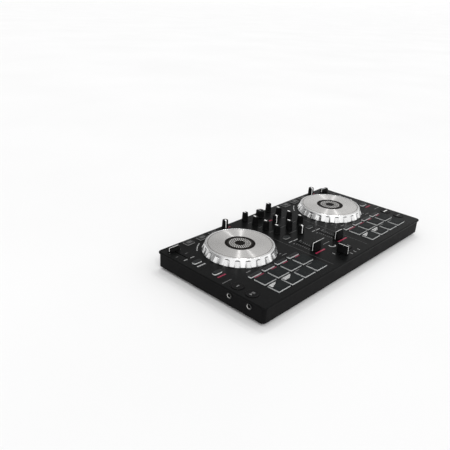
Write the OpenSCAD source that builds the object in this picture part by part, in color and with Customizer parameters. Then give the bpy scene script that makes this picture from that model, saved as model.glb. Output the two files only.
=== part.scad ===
// Two-deck DJ controller, in millimetres.
// Origin: middle of the footprint, on the surface that the feet stand on.
// +X points to the right deck, +Y to the back, +Z up.
// Places called *_front are measured from the panel's front edge and places called *_back from
// its back edge, places called *_inset from its side edges.

/* [Body] */
// Width of the top panel, left to right
panel_w = 554; // [548:2:700]
// Depth of the top panel, front to back
panel_d = 272; // [270:2:340]
// Thickness of the top panel
panel_t = 3.5; // [3:0.5:5]
// Radius of the panel's corners, seen from above
corner_r = 9; // [8:1:12]
// Radius of the rounding along the panel's top edge
edge_r = 2.5; // [1:0.5:2.5]
// Height of the lower case, up to the panel
case_h = 31.2; // [31:0.2:42]
// Thickness of the lower case's walls and floor
case_wall = 2.2; // [1.8:0.2:2.6]
// How far the case wall stands in from the panel's edge
case_inset = 2.5; // [1.5:0.5:2.5]
// Slope along the case's lower edge
case_chamfer = 3; // [1:0.5:4]
// Height of the rubber feet
foot_h = 4; // [3:0.5:8]
// Radius of the rubber feet
foot_r = 9; // [6:0.5:12]

/* [Jog wheels] */
// Place of a jog wheel's axis, from the side edge
jog_inset = 122; // [120:1:124]
// Place of a jog wheel's axis, from the front edge
jog_front = 168.4; // [166:0.2:170]
// Radius of the jog ring at its foot
jog_r = 74.5; // [58:0.5:77]
// How far the jog ring leans in from its foot to its top
jog_lean = 7.5; // [4:0.5:10]
// Height of the jog wheel above the panel
jog_rise = 16; // [13:0.5:20]
// Width of the top rim left round the metal plate
jog_rim_w = 2.3; // [1.5:0.1:4]
// Thickness of the metal plate
plate_t = 1.2; // [0.8:0.1:2]
// Number of finger dents round the jog ring
dent_count = 22; // [12:1:28]
// Depth of a finger dent at the ring's foot
dent_depth = 3.4; // [1:0.1:3.6]
// Radius of the pointed cutter that shapes a finger dent
dent_r = 9; // [6:0.5:9]
// Length of a finger dent's straight part, up from the ring's foot
dent_len = 9.7; // [4:0.1:9.9]
// Rest angle of the left jog wheel
left_jog_turn = -1.6; // [-8:0.1:8]
// Rest angle of the right jog wheel
right_jog_turn = 6; // [-8:0.1:8]
// Radius of the jog spindle
spindle_r = 4; // [3:0.25:6]

/* [Pads and keys] */
// Width of a pad
pad_w = 32; // [26:0.5:36.5]
// Depth of a pad
pad_d = 26; // [21:0.5:31]
// Gap between neighbouring pads, side to side
pad_gap_x = 5; // [4.5:0.5:8]
// Gap between the two rows of pads
pad_gap_y = 5.3; // [4.7:0.1:8]
// Place of the front row's front edge, from the panel's front edge
pad_front = 16.9; // [15:0.1:22]
// Shift of the block of pads from the jog wheel's axis, to the right
pad_shift = 5.9; // [4:0.1:7]
// Width of a mode key
mode_w = 29; // [20:0.5:32]
// Depth of a mode key
mode_d = 8; // [6:0.5:10]
// Gap from the rear row of pads to the mode keys
mode_gap = 6; // [5:0.2:9]
// Width of an effect key
effect_w = 20; // [14:0.5:24]
// Depth of an effect key
effect_d = 16; // [11:0.5:16]
// Distance between neighbouring effect keys
effect_pitch = 35; // [28:0.5:36]
// Place of the first effect key, left of the jog wheel's axis
effect_first = 53; // [48:0.5:54]
// Place of the effect keys' middle line, from the back edge
effect_back = 15; // [15:0.5:18]
// Width of a side key
side_w = 20; // [14:0.5:22]
// Depth of a side key and of a headphone cue key
side_d = 10; // [7:0.5:12]
// Place of the side keys' middle line, from the side edge
side_inset = 26.5; // [25:0.5:28]
// Gap from the tempo fader to the first side key
side_gap = 14; // [11:0.5:16]
// Distance between the two side keys
side_pitch = 53; // [44:0.5:55]
// Width of a headphone cue key
cue_w = 17; // [12:0.5:20]
// Place of the headphone cue keys' middle line, from the front edge
cue_front = 142.5; // [142.5:0.5:149]
// Radius of a play or cue button
transport_r = 12; // [9:0.5:13]
// Place of the play and cue buttons, from the side edge
transport_inset = 20; // [19:0.5:22]
// Place of the play button, from the front edge
play_front = 45; // [44:0.5:46]
// Distance between the play and cue buttons
transport_pitch = 33; // [32.5:0.5:34]
// How far keys and pads stand above the panel
key_rise = 2.7; // [1.8:0.1:4]
// How far the play and cue buttons stand above the panel
transport_rise = 1.2; // [1:0.1:3]
// How far keys and pads travel when pressed
key_travel = 1; // [0.6:0.1:1.4]
// Radius of the corners of keys and pads
key_corner_r = 1.5; // [0.5:0.1:2.5]
// Radius of the corners of side keys and headphone cue keys
side_corner_r = 3.5; // [1.5:0.1:4]

/* [Knobs] */
// Radius of a knob at its foot
knob_r = 7.2; // [6:0.1:9]
// Height of a knob's top above the panel
knob_rise = 20; // [14:0.5:25]
// How much a knob narrows towards its top
knob_taper = 0.9; // [0:0.1:2]
// Place of the two columns of mixer knobs and of the channel faders, from the middle line
channel_x = 40; // [38:0.5:42]
// Place of the first row of knobs, from the back edge
knob_back = 13; // [12:0.5:16]
// Distance between rows of mixer knobs
knob_pitch = 30.3; // [26:0.1:30.5]
// Place of the master level knob, from the back edge
master_back = 67; // [64:0.5:70]
// Place of the headphone mix knob, from the back edge
mix_back = 105; // [102:0.5:108]
// Place of the headphone level knob, from the front edge
phones_front = 136; // [133:0.5:136]
// Place of the effect level knob, right of the jog wheel's axis
effect_knob_x = 52; // [51:0.5:54]
// Radius of the browse knob
browse_r = 10; // [7:0.5:13]
// Height of the browse knob's top above the panel
browse_rise = 17; // [13:0.5:20]
// Place of the browse knob, from the back edge
browse_back = 22; // [20:0.5:30]
// How far the browse knob travels when pushed
browse_travel = 0.8; // [0.4:0.1:1.2]

/* [Faders] */
// Travel of every fader
fader_travel = 45; // [36:1:54]
// Place of a channel fader cap at rest, from the front edge
channel_front = 69.5; // [67:0.5:72]
// Place of the crossfader, from the front edge
cross_front = 26.5; // [25:0.5:30]
// Place of the crossfader cap at rest, left of the middle line
cross_rest = 10; // [0:0.5:15]
// Place of the tempo faders, from the side edge
tempo_inset = 24; // [23:0.5:26]
// Place of a tempo fader cap at rest, from the back edge
tempo_back = 22; // [20:0.5:26]
// How far a tempo fader can still move back from its place at rest
tempo_spare = 6.5; // [2:0.5:8]
// Length of a fader cap across its travel
cap_w = 22.5; // [16:0.5:26]
// Thickness of a fader cap along its travel, at its foot
cap_d = 11; // [8:0.5:13]
// Height of a mixer fader cap above the panel
cap_rise = 18.5; // [12:0.5:20]
// Height of a tempo fader cap above the panel
tempo_rise = 9.5; // [7:0.5:14]

/* [Sockets] */
// Radius of the plug that the side sockets take
jack_bore_r = 3.2; // [3.2:0.05:3.3]
// Depth of a side socket's bore
jack_depth = 22; // [18:0.5:24]
// Radius of the metal ring round a side socket
jack_ring_r = 5.75; // [5.7:0.05:6.5]
// Depth of the side sockets' axes below the panel's top
jack_drop = 12.1; // [12:0.1:13]
// Place of the socket next to the front corner, from the front edge
jack_front = 35; // [34:0.5:36]
// Distance between the two side sockets
jack_pitch = 45.2; // [44.4:0.2:46]
// Radius of a line output barrel
line_r = 4.15; // [3.9:0.05:4.4]
// Length of a line output barrel
line_len = 9; // [8:0.5:9.5]
// Distance between the two line outputs
line_pitch = 17; // [14:0.5:20]
// Width of the mouth of the USB socket
usb_mouth_w = 8.5; // [8.2:0.1:9]
// Height of the mouth of the USB socket
usb_mouth_h = 7.8; // [7.5:0.1:8.2]

/* [Clearances] */
// Gap round a key in its hole
key_gap = 0.45; // [0.4:0.05:0.8]
// Gap between a turning shaft and its bush, on the radius
run_gap = 0.05; // [0.02:0.01:0.1]
// Gap under knobs, fader caps and jog rings
lift_gap = 0.8; // [0.5:0.1:1.2]
// Gap left where one piece is pushed onto another
push_gap = 0.05; // [0.02:0.01:0.1]

/* [Hidden] */
$fn = 64;
hull_fn = 32;
sides = [-1, 1];

// Levels, from the surface up
case_z = foot_h;
floor_z = case_z + case_wall;
under_z = case_z + case_h;
top_z = under_z + panel_t;

// Edges of the panel and the lower case
half_w = panel_w / 2;
half_d = panel_d / 2;
case_w = panel_w - 2 * case_inset;
case_d = panel_d - 2 * case_inset;
case_corner_r = corner_r - case_inset;
inner_w = case_w - 2 * case_wall;
inner_d = case_d - 2 * case_wall;
least_corner_r = 1;
inner_corner_r = max(least_corner_r, case_corner_r - case_wall);

// Boards and switches
board_t = 1.6;
board_drop = 10.6;
board_z = under_z - board_drop - board_t;
board_top = under_z - board_drop;
board_edge = 8;
board_side = 17;
board_split = 68;
mixer_board_w = 112;
main_board_w = 96;
main_board_d = 66;
main_board_lift = 1.5;
main_board_back = 15.3;
main_board_top = floor_z + main_board_lift + board_t;
solder_gap = 0.05;
switch_w = 6;
switch_body_h = 2.5;
plunger_r = 1.5;
plunger_h = 0.6;
switch_top = board_top + solder_gap + switch_body_h + plunger_h;
jog_board_hole_r = 12;
jack_notch_w = 16;
jack_notch_reach = 33;

// Keys below the panel
flange_gap = 0.3;
flange_t = 1.5;
flange_lip = 1.1;
flange_top = under_z - flange_gap;
flange_z = flange_top - flange_t;
press_gap = 0.3;
stem_r = 2.5;
offset_stem_r = 2;
stem_z = switch_top + key_travel + press_gap;
runner_w = 4;
transport_stem_in = 1;
transport_stem_shift = transport_r - transport_stem_in;

// Potentiometers
shaft_r = 3;
bush_r = 3.6;
bush_gap = 0.45;
pot_w = 10;
pot_d = 12;
pot_h = 6.4;
shaft_seat = 2;
shaft_z = board_top + shaft_seat;
shaft_tip_gap = 0.4;
browse_tip_gap = browse_travel + shaft_tip_gap;
knob_bore_top = 6;
pointer_w = 1.2;
pointer_cut = 0.5;
slide_w = 9;
slide_h = 8.6;
slide_wall = 1.5;
slide_end = 6;
lever_w = 4;
lever_t = 1.6;
lever_gap = 0.45;
lever_depth = 5;
lever_reach = 7;
cap_shoulder = 4;
cross_drop = 1;
cap_top_share = 0.58;
line_w = 1;
line_cut = 0.4;

// Jog wheel
jog_x = half_w - jog_inset;
jog_y = jog_front - half_d;
jog_wall = 5;
jog_top_t = 3;
jog_land = 1.4;
jog_edge = 0.8;
dent_lean_share = 0.7;
dent_below = 4;
jog_top_r = jog_r - jog_lean;
hub_r = 12;
plate_gap = 0.2;
plate_r = jog_top_r - jog_rim_w - plate_gap;
groove_r = 30;
groove_w = 5.5;
groove_cut = 0.4;
bearing_flange_r = 14;
bearing_flange_t = 3;
bearing_r = 8;
bearing_len = 16;
bearing_z = under_z - bearing_flange_t - bearing_len;
spindle_hole_gap = 1;
washer_r = 8;
washer_t = 1.2;
washer_gap = 0.4;
spindle_tail = 1.5;

// Screws and what they hold
screw_r = 1.5;
screw_hole_gap = 0.2;
screw_len = 8.5;
head_r = 2.8;
head_h = 2;
head_gap = 0.4;
drive_w = 0.9;
drive_cut = 1;
column_r = 4.4;
boss_h = 4;
boss_r = 4;
column_top = under_z - boss_h;
seat_t = 3;
boss_inset = 12;
mid_boss_x = 62;
mid_boss_y = -6;
post_r = 3;
pin_r = 1.2;
pin_gap = 0.1;
foot_inset = 45;
foot_taper = 1;

// Pocket for the sockets at the back
pocket_w = 100;
pocket_depth = 10;
pocket_sill = 2.1;
pocket_h = 12.6;
pocket_z = floor_z + pocket_sill;
pocket_top = pocket_z + pocket_h;
pocket_roof = 1.6;
pocket_y = case_d / 2 - pocket_depth;
line_x = 14;
line_neck = 0.3;
line_hole_gap = 0.4;
line_block_w = 12;
line_block_d = 11;
line_core_r = 1.6;
line_lift = 5.2;
line_z = main_board_top + line_lift;
usb_x = -25;
usb_w = 12;
usb_d = 16;
usb_h = 10.9;
usb_depth = 9;
usb_gap = 0.15;
usb_z = main_board_top + solder_gap;
jack_ring_t = 1.7;
jack_body_r = 5.2;
jack_body_len = 24;
jack_wall_gap = 0.2;
jack_z = top_z - jack_drop;

// Small overlap that keeps cuts clean
eps = 0.5;

function front(y) = y - half_d;
function back(y) = half_d - y;
function side_name(s) = s < 0 ? "left" : "right";

// Places of keys, as [x, y]
pad_columns = 4;
pad_count = 2 * pad_columns;
effect_count = 3;
pad_pitch_x = pad_w + pad_gap_x;
pad_pitch_y = pad_d + pad_gap_y;
function pad_at(s, i) = [
    s * jog_x + pad_shift + (i % pad_columns - (pad_columns - 1) / 2) * pad_pitch_x,
    front(pad_front + pad_d / 2 + (i < pad_columns ? pad_pitch_y : 0))
];
mode_y = front(pad_front + 2 * pad_d + pad_gap_y + mode_gap + mode_d / 2);
function mode_at(s, i) = [pad_at(s, i)[0] - (pad_w - mode_w) / 2, mode_y];
function effect_at(s, i) = [s * jog_x - effect_first + i * effect_pitch, back(effect_back)];
tempo_first = back(tempo_back) + tempo_spare - fader_travel;
function side_at(s, i) = [s * (half_w - side_inset), tempo_first - side_gap - side_d - i * side_pitch];
function cue_at(s) = [s * channel_x, front(cue_front)];
function transport_at(s, i) = [s * (half_w - transport_inset), front(play_front + i * transport_pitch)];

// Knobs, as [name, place, pointer angle from straight back, clockwise]
ROW_NAMES = ["trim", "high", "middle", "low"];
LOW_END = -150;
KNOBS = concat(
    [for (s = sides) for (i = [0:len(ROW_NAMES) - 1])
        [str(side_name(s), "_", ROW_NAMES[i], "_knob"),
         [s * channel_x, back(knob_back + i * knob_pitch)], 0]],
    [for (s = sides)
        [str(side_name(s), "_effect_knob"), [s * jog_x + effect_knob_x, back(knob_back)], LOW_END]],
    [["master_level_knob", [0, back(master_back)], LOW_END],
     ["phones_mix_knob", [0, back(mix_back)], 0],
     ["phones_level_knob", [0, front(phones_front)], LOW_END]]
);
browse_at = [0, back(browse_back)];

// Faders, as [name, middle of the slot, cap at rest, turn of the cap, rise of the cap]
tempo_middle = tempo_first + fader_travel / 2;
channel_middle = front(channel_front) + fader_travel / 2;
FADERS = concat(
    [["crossfader", [0, front(cross_front)], [-cross_rest, front(cross_front)], 90, cap_rise - cross_drop]],
    [for (s = sides)
        [str(side_name(s), "_channel_fader"),
         [s * channel_x, channel_middle], [s * channel_x, front(channel_front)], 0, cap_rise]],
    [for (s = sides)
        [str(side_name(s), "_tempo_fader"),
         [s * (half_w - tempo_inset), tempo_middle],
         [s * (half_w - tempo_inset), back(tempo_back)], 0, tempo_rise]]
);

// Places of fasteners, feet and posts
SCREWS = concat(
    [for (x = sides) for (y = sides) [x * (half_w - boss_inset), y * (half_d - boss_inset)]],
    [for (x = sides) for (y = [front(boss_inset), mid_boss_y, back(boss_inset)]) [x * mid_boss_x, y]]
);
FEET = [for (x = [-1, 0, 1]) for (y = sides) [x * (half_w - foot_inset), y * (half_d - foot_inset)]];
post_edge = 8;
deck_post_y = 60;
mixer_post_front = 24;
mixer_post_y = 20;
DECK_POST_COLUMNS = [board_split + post_edge, half_w - board_side - post_edge];
DECK_POST_ROWS = [front(jack_front + jack_pitch / 2), deck_post_y];
MIXER_POST_ROWS = [front(mixer_post_front), mixer_post_y];
DECK_POSTS = [for (s = sides) for (x = DECK_POST_COLUMNS) for (y = DECK_POST_ROWS) [s * x, y]];
MIXER_POSTS = [for (x = sides) for (y = MIXER_POST_ROWS) [x * (mixer_board_w / 2 - post_edge), y]];
main_board_y = back(main_board_back) - main_board_d / 2;
main_post_edge = 6;
MAIN_POSTS = [for (x = sides) for (y = sides)
    [x * (main_board_w / 2 - main_post_edge), main_board_y + y * (main_board_d / 2 - main_post_edge)]];
JACKS = [for (i = [0:1]) front(jack_front + i * jack_pitch)];
LINES = [for (i = [0:1]) line_x + i * line_pitch];

KEY_STEMS = concat(
    [for (s = sides) for (i = [0:pad_count - 1]) pad_at(s, i)],
    [for (s = sides) for (i = [0:pad_columns - 1]) mode_at(s, i)],
    [for (s = sides) for (i = [0:effect_count - 1]) effect_at(s, i)],
    [for (s = sides) for (i = [0:1]) side_at(s, i)],
    [for (s = sides) cue_at(s)],
    [for (s = sides) for (i = [0:1]) transport_at(s, i) + [0, transport_stem_shift]]
);

FIXED = ["top_panel", "bottom_case", "rubber_feet", "case_screws", "control_boards", "potentiometers",
    "jog_bearings", "side_jacks", "rear_sockets"];
TRANSPORT_NAMES = ["play", "cue"];
function transport_name(s, i) = str(side_name(s), "_", TRANSPORT_NAMES[i], "_button");

// Shapes used more than once

module rounded(w, d, r) {
    square([w - 2 * r, d], center = true);
    square([w, d - 2 * r], center = true);
    for (x = sides) for (y = sides) {
        translate([x * (w / 2 - r), y * (d / 2 - r)])
            circle(r);
    }
}

module rounded_block(w, d, h, r) {
    linear_extrude(h)
        rounded(w, d, r);
}

// A block centred in x and y that stands on z = 0
module block(w, d, h) {
    translate([-w / 2, -d / 2, 0])
        cube([w, d, h]);
}

module at(place, z = 0) {
    translate([place[0], place[1], z])
        children();
}

// One key top with the flange that keeps it under the panel
module key_top(w, d, corner = key_corner_r) {
    translate([0, 0, flange_z])
        rounded_block(w, d, top_z + key_rise - flange_z, corner);
    translate([0, 0, flange_z])
        block(w + 2 * flange_lip, d + 2 * flange_lip, flange_t);
}

module key_stem(r = stem_r) {
    translate([0, 0, stem_z])
        cylinder(r = r, h = flange_z + flange_t - stem_z);
}

module key_hole(w, d, corner = key_corner_r) {
    translate([0, 0, under_z - eps])
        rounded_block(w + 2 * key_gap, d + 2 * key_gap, panel_t + 2 * eps, corner + key_gap);
}

// A moulding of several key tops on one runner
module key_strip(places, w, d, corner = key_corner_r) {
    first = places[0];
    last = places[len(places) - 1];
    along_x = first[1] == last[1];
    reach = norm(last - first);
    for (p = places) {
        at(p) {
            key_top(w, d, corner);
            key_stem();
        }
    }
    at((first + last) / 2, flange_z)
        block(along_x ? reach : runner_w, along_x ? runner_w : reach, flange_t);
}

module fader_slot(f) {
    at(f[1], under_z - eps)
        rotate([0, 0, f[3]])
            block(lever_t + 2 * lever_gap, fader_travel + lever_w + 2 * lever_gap, panel_t + 2 * eps);
}

// Casing

module panel_blank() {
    ring_r = corner_r - edge_r;
    hull() {
        for (x = sides) for (y = sides) {
            at([x * (half_w - corner_r), y * (half_d - corner_r)], under_z) {
                cylinder(r = corner_r, h = panel_t - edge_r, $fn = hull_fn);
                translate([0, 0, panel_t - edge_r])
                    rotate_extrude($fn = hull_fn)
                        translate([ring_r, 0])
                            intersection() {
                                circle(edge_r, $fn = hull_fn);
                                translate([-edge_r, 0])
                                    square(2 * edge_r);
                            }
            }
        }
    }
}

module panel_holes() {
    for (s = sides) {
        for (i = [0:pad_count - 1]) at(pad_at(s, i)) key_hole(pad_w, pad_d);
        for (i = [0:pad_columns - 1]) at(mode_at(s, i)) key_hole(mode_w, mode_d);
        for (i = [0:effect_count - 1]) at(effect_at(s, i)) key_hole(effect_w, effect_d);
        for (i = [0:1]) at(side_at(s, i)) key_hole(side_w, side_d, side_corner_r);
        for (i = [0:1]) at(transport_at(s, i), under_z - eps)
            cylinder(r = transport_r + key_gap, h = panel_t + 2 * eps);
        at(cue_at(s)) key_hole(cue_w, side_d, side_corner_r);
        at([s * jog_x, jog_y], under_z - eps)
            cylinder(r = spindle_r + spindle_hole_gap, h = panel_t + 2 * eps);
    }
    for (f = FADERS) fader_slot(f);
    for (p = concat([for (k = KNOBS) k[1]], [browse_at])) at(p, under_z - eps)
        cylinder(r = bush_r + bush_gap, h = panel_t + 2 * eps);
}

module top_panel() {
    color([0.07, 0.07, 0.075])
        difference() {
            union() {
                panel_blank();
                for (p = SCREWS) at(p, column_top)
                    cylinder(r = boss_r, h = under_z + eps - column_top);
            }
            panel_holes();
            for (p = SCREWS) at(p, column_top - eps)
                cylinder(r = screw_r + run_gap, h = screw_len - seat_t + 2 * eps);
        }
}

module case_blank() {
    hull() {
        translate([0, 0, case_z])
            linear_extrude(eps)
                rounded(case_w - 2 * case_chamfer, case_d - 2 * case_chamfer, case_corner_r, $fn = hull_fn);
        translate([0, 0, case_z + case_chamfer])
            linear_extrude(case_h - case_chamfer)
                rounded(case_w, case_d, case_corner_r, $fn = hull_fn);
    }
}

// A post that carries a board, with the pin that goes through it
module board_post(board_under) {
    translate([0, 0, floor_z - eps])
        cylinder(r = post_r, h = board_under - floor_z + eps);
    translate([0, 0, floor_z])
        cylinder(r = pin_r, h = board_under - floor_z + board_t);
}

module case_inside() {
    for (p = SCREWS) at(p, case_z)
        cylinder(r = column_r, h = column_top - case_z);
    for (p = concat(DECK_POSTS, MIXER_POSTS)) at(p)
        board_post(board_z);
    for (p = MAIN_POSTS) at(p)
        board_post(floor_z + main_board_lift);
    translate([0, pocket_y - case_wall, floor_z - eps])
        translate([-pocket_w / 2 - case_wall, 0, 0])
            cube([pocket_w + 2 * case_wall, pocket_depth + eps, pocket_top + pocket_roof - floor_z + eps]);
}

module case_cuts() {
    for (p = SCREWS) at(p) {
        translate([0, 0, case_z - eps])
            cylinder(r = head_r + head_gap, h = column_top - seat_t - case_z + eps);
        translate([0, 0, case_z])
            cylinder(r = screw_r + screw_hole_gap, h = column_top - case_z + eps);
    }
    translate([-pocket_w / 2, pocket_y, pocket_z])
        cube([pocket_w, pocket_depth + eps, pocket_top - pocket_z]);
    for (x = LINES) translate([x, pocket_y + eps, line_z])
        rotate([90, 0, 0])
            cylinder(r = line_r + line_neck + line_hole_gap, h = case_wall + 2 * eps);
    translate([usb_x, pocket_y - case_wall - eps, usb_z - usb_gap])
        translate([-usb_w / 2 - usb_gap, 0, 0])
            cube([usb_w + 2 * usb_gap, case_wall + 2 * eps, usb_h + 2 * usb_gap]);
    for (y = JACKS) translate([-case_w / 2 - eps, y, jack_z])
        rotate([0, 90, 0])
            cylinder(r = jack_body_r + jack_wall_gap, h = case_wall + 2 * eps);
}

module bottom_case() {
    color([0.1, 0.1, 0.105])
        difference() {
            union() {
                difference() {
                    case_blank();
                    translate([0, 0, floor_z])
                        rounded_block(inner_w, inner_d, case_h, inner_corner_r);
                }
                case_inside();
            }
            case_cuts();
        }
}

module rubber_feet() {
    color([0.16, 0.16, 0.16])
        for (p = FEET) at(p)
            cylinder(r1 = foot_r - foot_taper, r2 = foot_r, h = foot_h);
}

module case_screws() {
    color([0.3, 0.3, 0.31])
        for (p = SCREWS) at(p, column_top - seat_t)
            difference() {
                union() {
                    translate([0, 0, -head_h])
                        cylinder(r = head_r, h = head_h);
                    cylinder(r = screw_r, h = screw_len);
                }
                for (turn = [0, 90]) rotate([0, 0, turn])
                    translate([0, 0, -head_h - eps])
                        block(2 * drive_w + head_r, drive_w, drive_cut + eps);
            }
}

// Boards and what is soldered to them

module switch() {
    block(switch_w, switch_w, switch_body_h);
    cylinder(r = plunger_r, h = switch_body_h + plunger_h);
}

module deck_board(s) {
    inner = board_split;
    outer = half_w - board_side;
    difference() {
        at([s * (inner + outer) / 2, 0], board_z)
            block(outer - inner, panel_d - 2 * board_edge, board_t);
        at([s * jog_x, jog_y], board_z - eps)
            cylinder(r = jog_board_hole_r, h = board_t + 2 * eps);
        if (s < 0) {
            for (y = JACKS) at([-half_w, y], board_z - eps)
                block(2 * jack_notch_reach, jack_notch_w, board_t + 2 * eps);
        }
        for (p = DECK_POSTS) at(p, board_z - eps)
            cylinder(r = pin_r + pin_gap, h = board_t + 2 * eps);
    }
}

module mixer_board() {
    difference() {
        translate([0, 0, board_z])
            block(mixer_board_w, panel_d - 2 * board_edge, board_t);
        for (p = MIXER_POSTS) at(p, board_z - eps)
            cylinder(r = pin_r + pin_gap, h = board_t + 2 * eps);
    }
}

module main_board() {
    difference() {
        at([0, main_board_y], floor_z + main_board_lift)
            block(main_board_w, main_board_d, board_t);
        for (p = MAIN_POSTS) at(p, floor_z)
            cylinder(r = pin_r + pin_gap, h = main_board_lift + board_t + eps);
    }
}

module control_boards() {
    color([0.05, 0.25, 0.12]) {
        for (s = sides) deck_board(s);
        mixer_board();
        main_board();
    }
    color([0.2, 0.2, 0.2])
        for (p = KEY_STEMS) at(p, board_top + solder_gap)
            switch();
}

module rotary_pot(p) {
    at(p)
        difference() {
            union() {
                translate([0, 0, board_top + solder_gap])
                    block(pot_w, pot_d, pot_h);
                translate([0, 0, board_top + solder_gap])
                    cylinder(r = bush_r, h = top_z - board_top - solder_gap);
            }
            translate([0, 0, shaft_z])
                cylinder(r = shaft_r + run_gap, h = top_z - shaft_z + eps);
        }
}

module slide_pot(f) {
    body_len = fader_travel + lever_w + 2 * slide_end;
    room = fader_travel + lever_w + 2 * lever_gap;
    at(f[1], board_top + solder_gap)
        rotate([0, 0, f[3]])
            difference() {
                block(slide_w, body_len, slide_h);
                translate([0, 0, slide_wall])
                    block(lever_t + 2 * lever_gap, room, slide_h);
            }
}

module potentiometers() {
    color([0.55, 0.55, 0.56]) {
        for (k = KNOBS) rotary_pot(k[1]);
        rotary_pot(browse_at);
        for (f = FADERS) slide_pot(f);
    }
}

// Sockets

module side_jacks() {
    outside = -case_w / 2;
    inside = outside + case_wall;
    color([0.75, 0.75, 0.76])
        for (y = JACKS) translate([0, y, jack_z])
            rotate([0, 90, 0])
                difference() {
                    union() {
                        translate([0, 0, outside - jack_ring_t])
                            cylinder(r = jack_ring_r, h = jack_ring_t);
                        translate([0, 0, outside - eps])
                            cylinder(r = jack_body_r, h = inside - outside + jack_body_len);
                    }
                    translate([0, 0, outside - jack_ring_t - eps])
                        cylinder(r = jack_bore_r, h = jack_depth + eps);
                }
}

module line_output(x) {
    wall_back = pocket_y - case_wall;
    difference() {
        union() {
            translate([x, wall_back - usb_gap - line_block_d / 2, main_board_top + solder_gap])
                block(line_block_w, line_block_d, 2 * (line_z - main_board_top - solder_gap));
            translate([x, wall_back - usb_gap - eps, line_z])
                rotate([-90, 0, 0]) {
                    cylinder(r = line_r + line_neck, h = case_wall + usb_gap + eps);
                    cylinder(r = line_r, h = case_wall + usb_gap + eps + line_len);
                }
        }
        translate([x, pocket_y + line_len + eps, line_z])
            rotate([90, 0, 0])
                cylinder(r = line_core_r, h = line_len + eps);
    }
}

module usb_socket() {
    translate([usb_x, pocket_y - usb_d / 2, usb_z])
        difference() {
            block(usb_w, usb_d, usb_h);
            translate([0, usb_d / 2 - usb_depth / 2 + eps / 2, (usb_h - usb_mouth_h) / 2])
                block(usb_mouth_w, usb_depth + eps, usb_mouth_h);
        }
}

module rear_sockets() {
    color([0.7, 0.7, 0.71]) {
        for (x = LINES) line_output(x);
        usb_socket();
    }
}

// Jog wheels

module jog_bearings() {
    color([0.85, 0.82, 0.7])
        for (s = sides) at([s * jog_x, jog_y], bearing_z)
            difference() {
                union() {
                    cylinder(r = bearing_r, h = bearing_len + bearing_flange_t);
                    translate([0, 0, bearing_len])
                        cylinder(r = bearing_flange_r, h = bearing_flange_t);
                }
                translate([0, 0, -eps])
                    cylinder(r = spindle_r + run_gap, h = bearing_len + bearing_flange_t + 2 * eps);
            }
}

module jog_profile() {
    foot = lift_gap;
    land = lift_gap + jog_land;
    shoulder = jog_rise - jog_edge;
    seat = jog_rise - plate_t;
    roof = seat - jog_top_t;
    bore = spindle_r + push_gap;
    roof_r = jog_r - jog_wall - jog_lean * (roof - land) / (shoulder - land);
    polygon([
        [bore, foot],
        [hub_r, foot],
        [hub_r, roof],
        [roof_r, roof],
        [jog_r - jog_wall, foot],
        [jog_r, foot],
        [jog_r, land],
        [jog_top_r + jog_edge, shoulder],
        [jog_top_r, jog_rise],
        [plate_r + plate_gap, jog_rise],
        [plate_r + plate_gap, seat],
        [bore, seat]
    ]);
}

// Finger dents: each leans less than the ring's side, so it is deepest at the foot, and ends in a short slope
module jog_dents(turn) {
    land = lift_gap + jog_land;
    slope = atan2(jog_lean - jog_edge, jog_rise - jog_edge - land);
    for (i = [0:dent_count - 1]) rotate([0, 0, turn + (i + 0.5) * 360 / dent_count])
        translate([jog_r - dent_depth, 0, land])
            rotate([0, -slope * dent_lean_share, 0])
                translate([dent_r, 0, -dent_below])
                    rotate_extrude()
                        dent_profile(dent_below + dent_len);
}

module dent_profile(len) {
    polygon([
        [0, 0],
        [dent_r, 0],
        [dent_r, len],
        [0, len + dent_r]
    ]);
}

module jog_ring(s) {
    tail_z = bearing_z - washer_gap - washer_t - spindle_tail;
    at([s * jog_x, jog_y]) {
        color([0.78, 0.78, 0.79])
            translate([0, 0, top_z])
                difference() {
                    rotate_extrude()
                        jog_profile();
                    jog_dents(s < 0 ? left_jog_turn : right_jog_turn);
                }
        color([0.6, 0.6, 0.62]) {
            translate([0, 0, tail_z])
                cylinder(r = spindle_r, h = top_z + jog_rise - plate_t - tail_z);
            translate([0, 0, bearing_z - washer_gap - washer_t])
                difference() {
                    cylinder(r = washer_r, h = washer_t);
                    translate([0, 0, -eps])
                        cylinder(r = spindle_r + push_gap, h = washer_t + 2 * eps);
                }
        }
    }
}

module jog_plate(s) {
    color([0.83, 0.83, 0.82])
        at([s * jog_x, jog_y], top_z + jog_rise - plate_t)
            difference() {
                cylinder(r = plate_r, h = plate_t);
                translate([0, 0, plate_t - groove_cut])
                    difference() {
                        cylinder(r = groove_r, h = groove_cut + eps);
                        translate([0, 0, -eps])
                            cylinder(r = groove_r - groove_w, h = groove_cut + 3 * eps);
                    }
            }
}

// Faders

module fader_cap(rise) {
    foot = top_z + lift_gap;
    top_half = cap_d * cap_top_share / 2;
    difference() {
        translate([-cap_w / 2, 0, 0])
            rotate([90, 0, 90])
                linear_extrude(cap_w)
                    polygon([
                        [-cap_d / 2, foot],
                        [cap_d / 2, foot],
                        [cap_d / 2, foot + cap_shoulder],
                        [top_half, top_z + rise],
                        [-top_half, top_z + rise],
                        [-cap_d / 2, foot + cap_shoulder]
                    ]);
        translate([0, 0, foot - eps])
            block(lever_t + 2 * push_gap, lever_w + 2 * push_gap, lever_reach + push_gap + eps);
        translate([0, 0, top_z + rise - line_cut])
            block(cap_w + 2 * eps, line_w, line_cut + eps);
    }
}

module fader(f) {
    lever_z = board_top + solder_gap + slide_h - lever_depth;
    at(f[2])
        rotate([0, 0, f[3]]) {
            color([0.06, 0.06, 0.065])
                fader_cap(f[4]);
            color([0.6, 0.6, 0.62])
                translate([0, 0, lever_z])
                    block(lever_t, lever_w, top_z + lift_gap + lever_reach - lever_z);
        }
}

// Knobs

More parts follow.
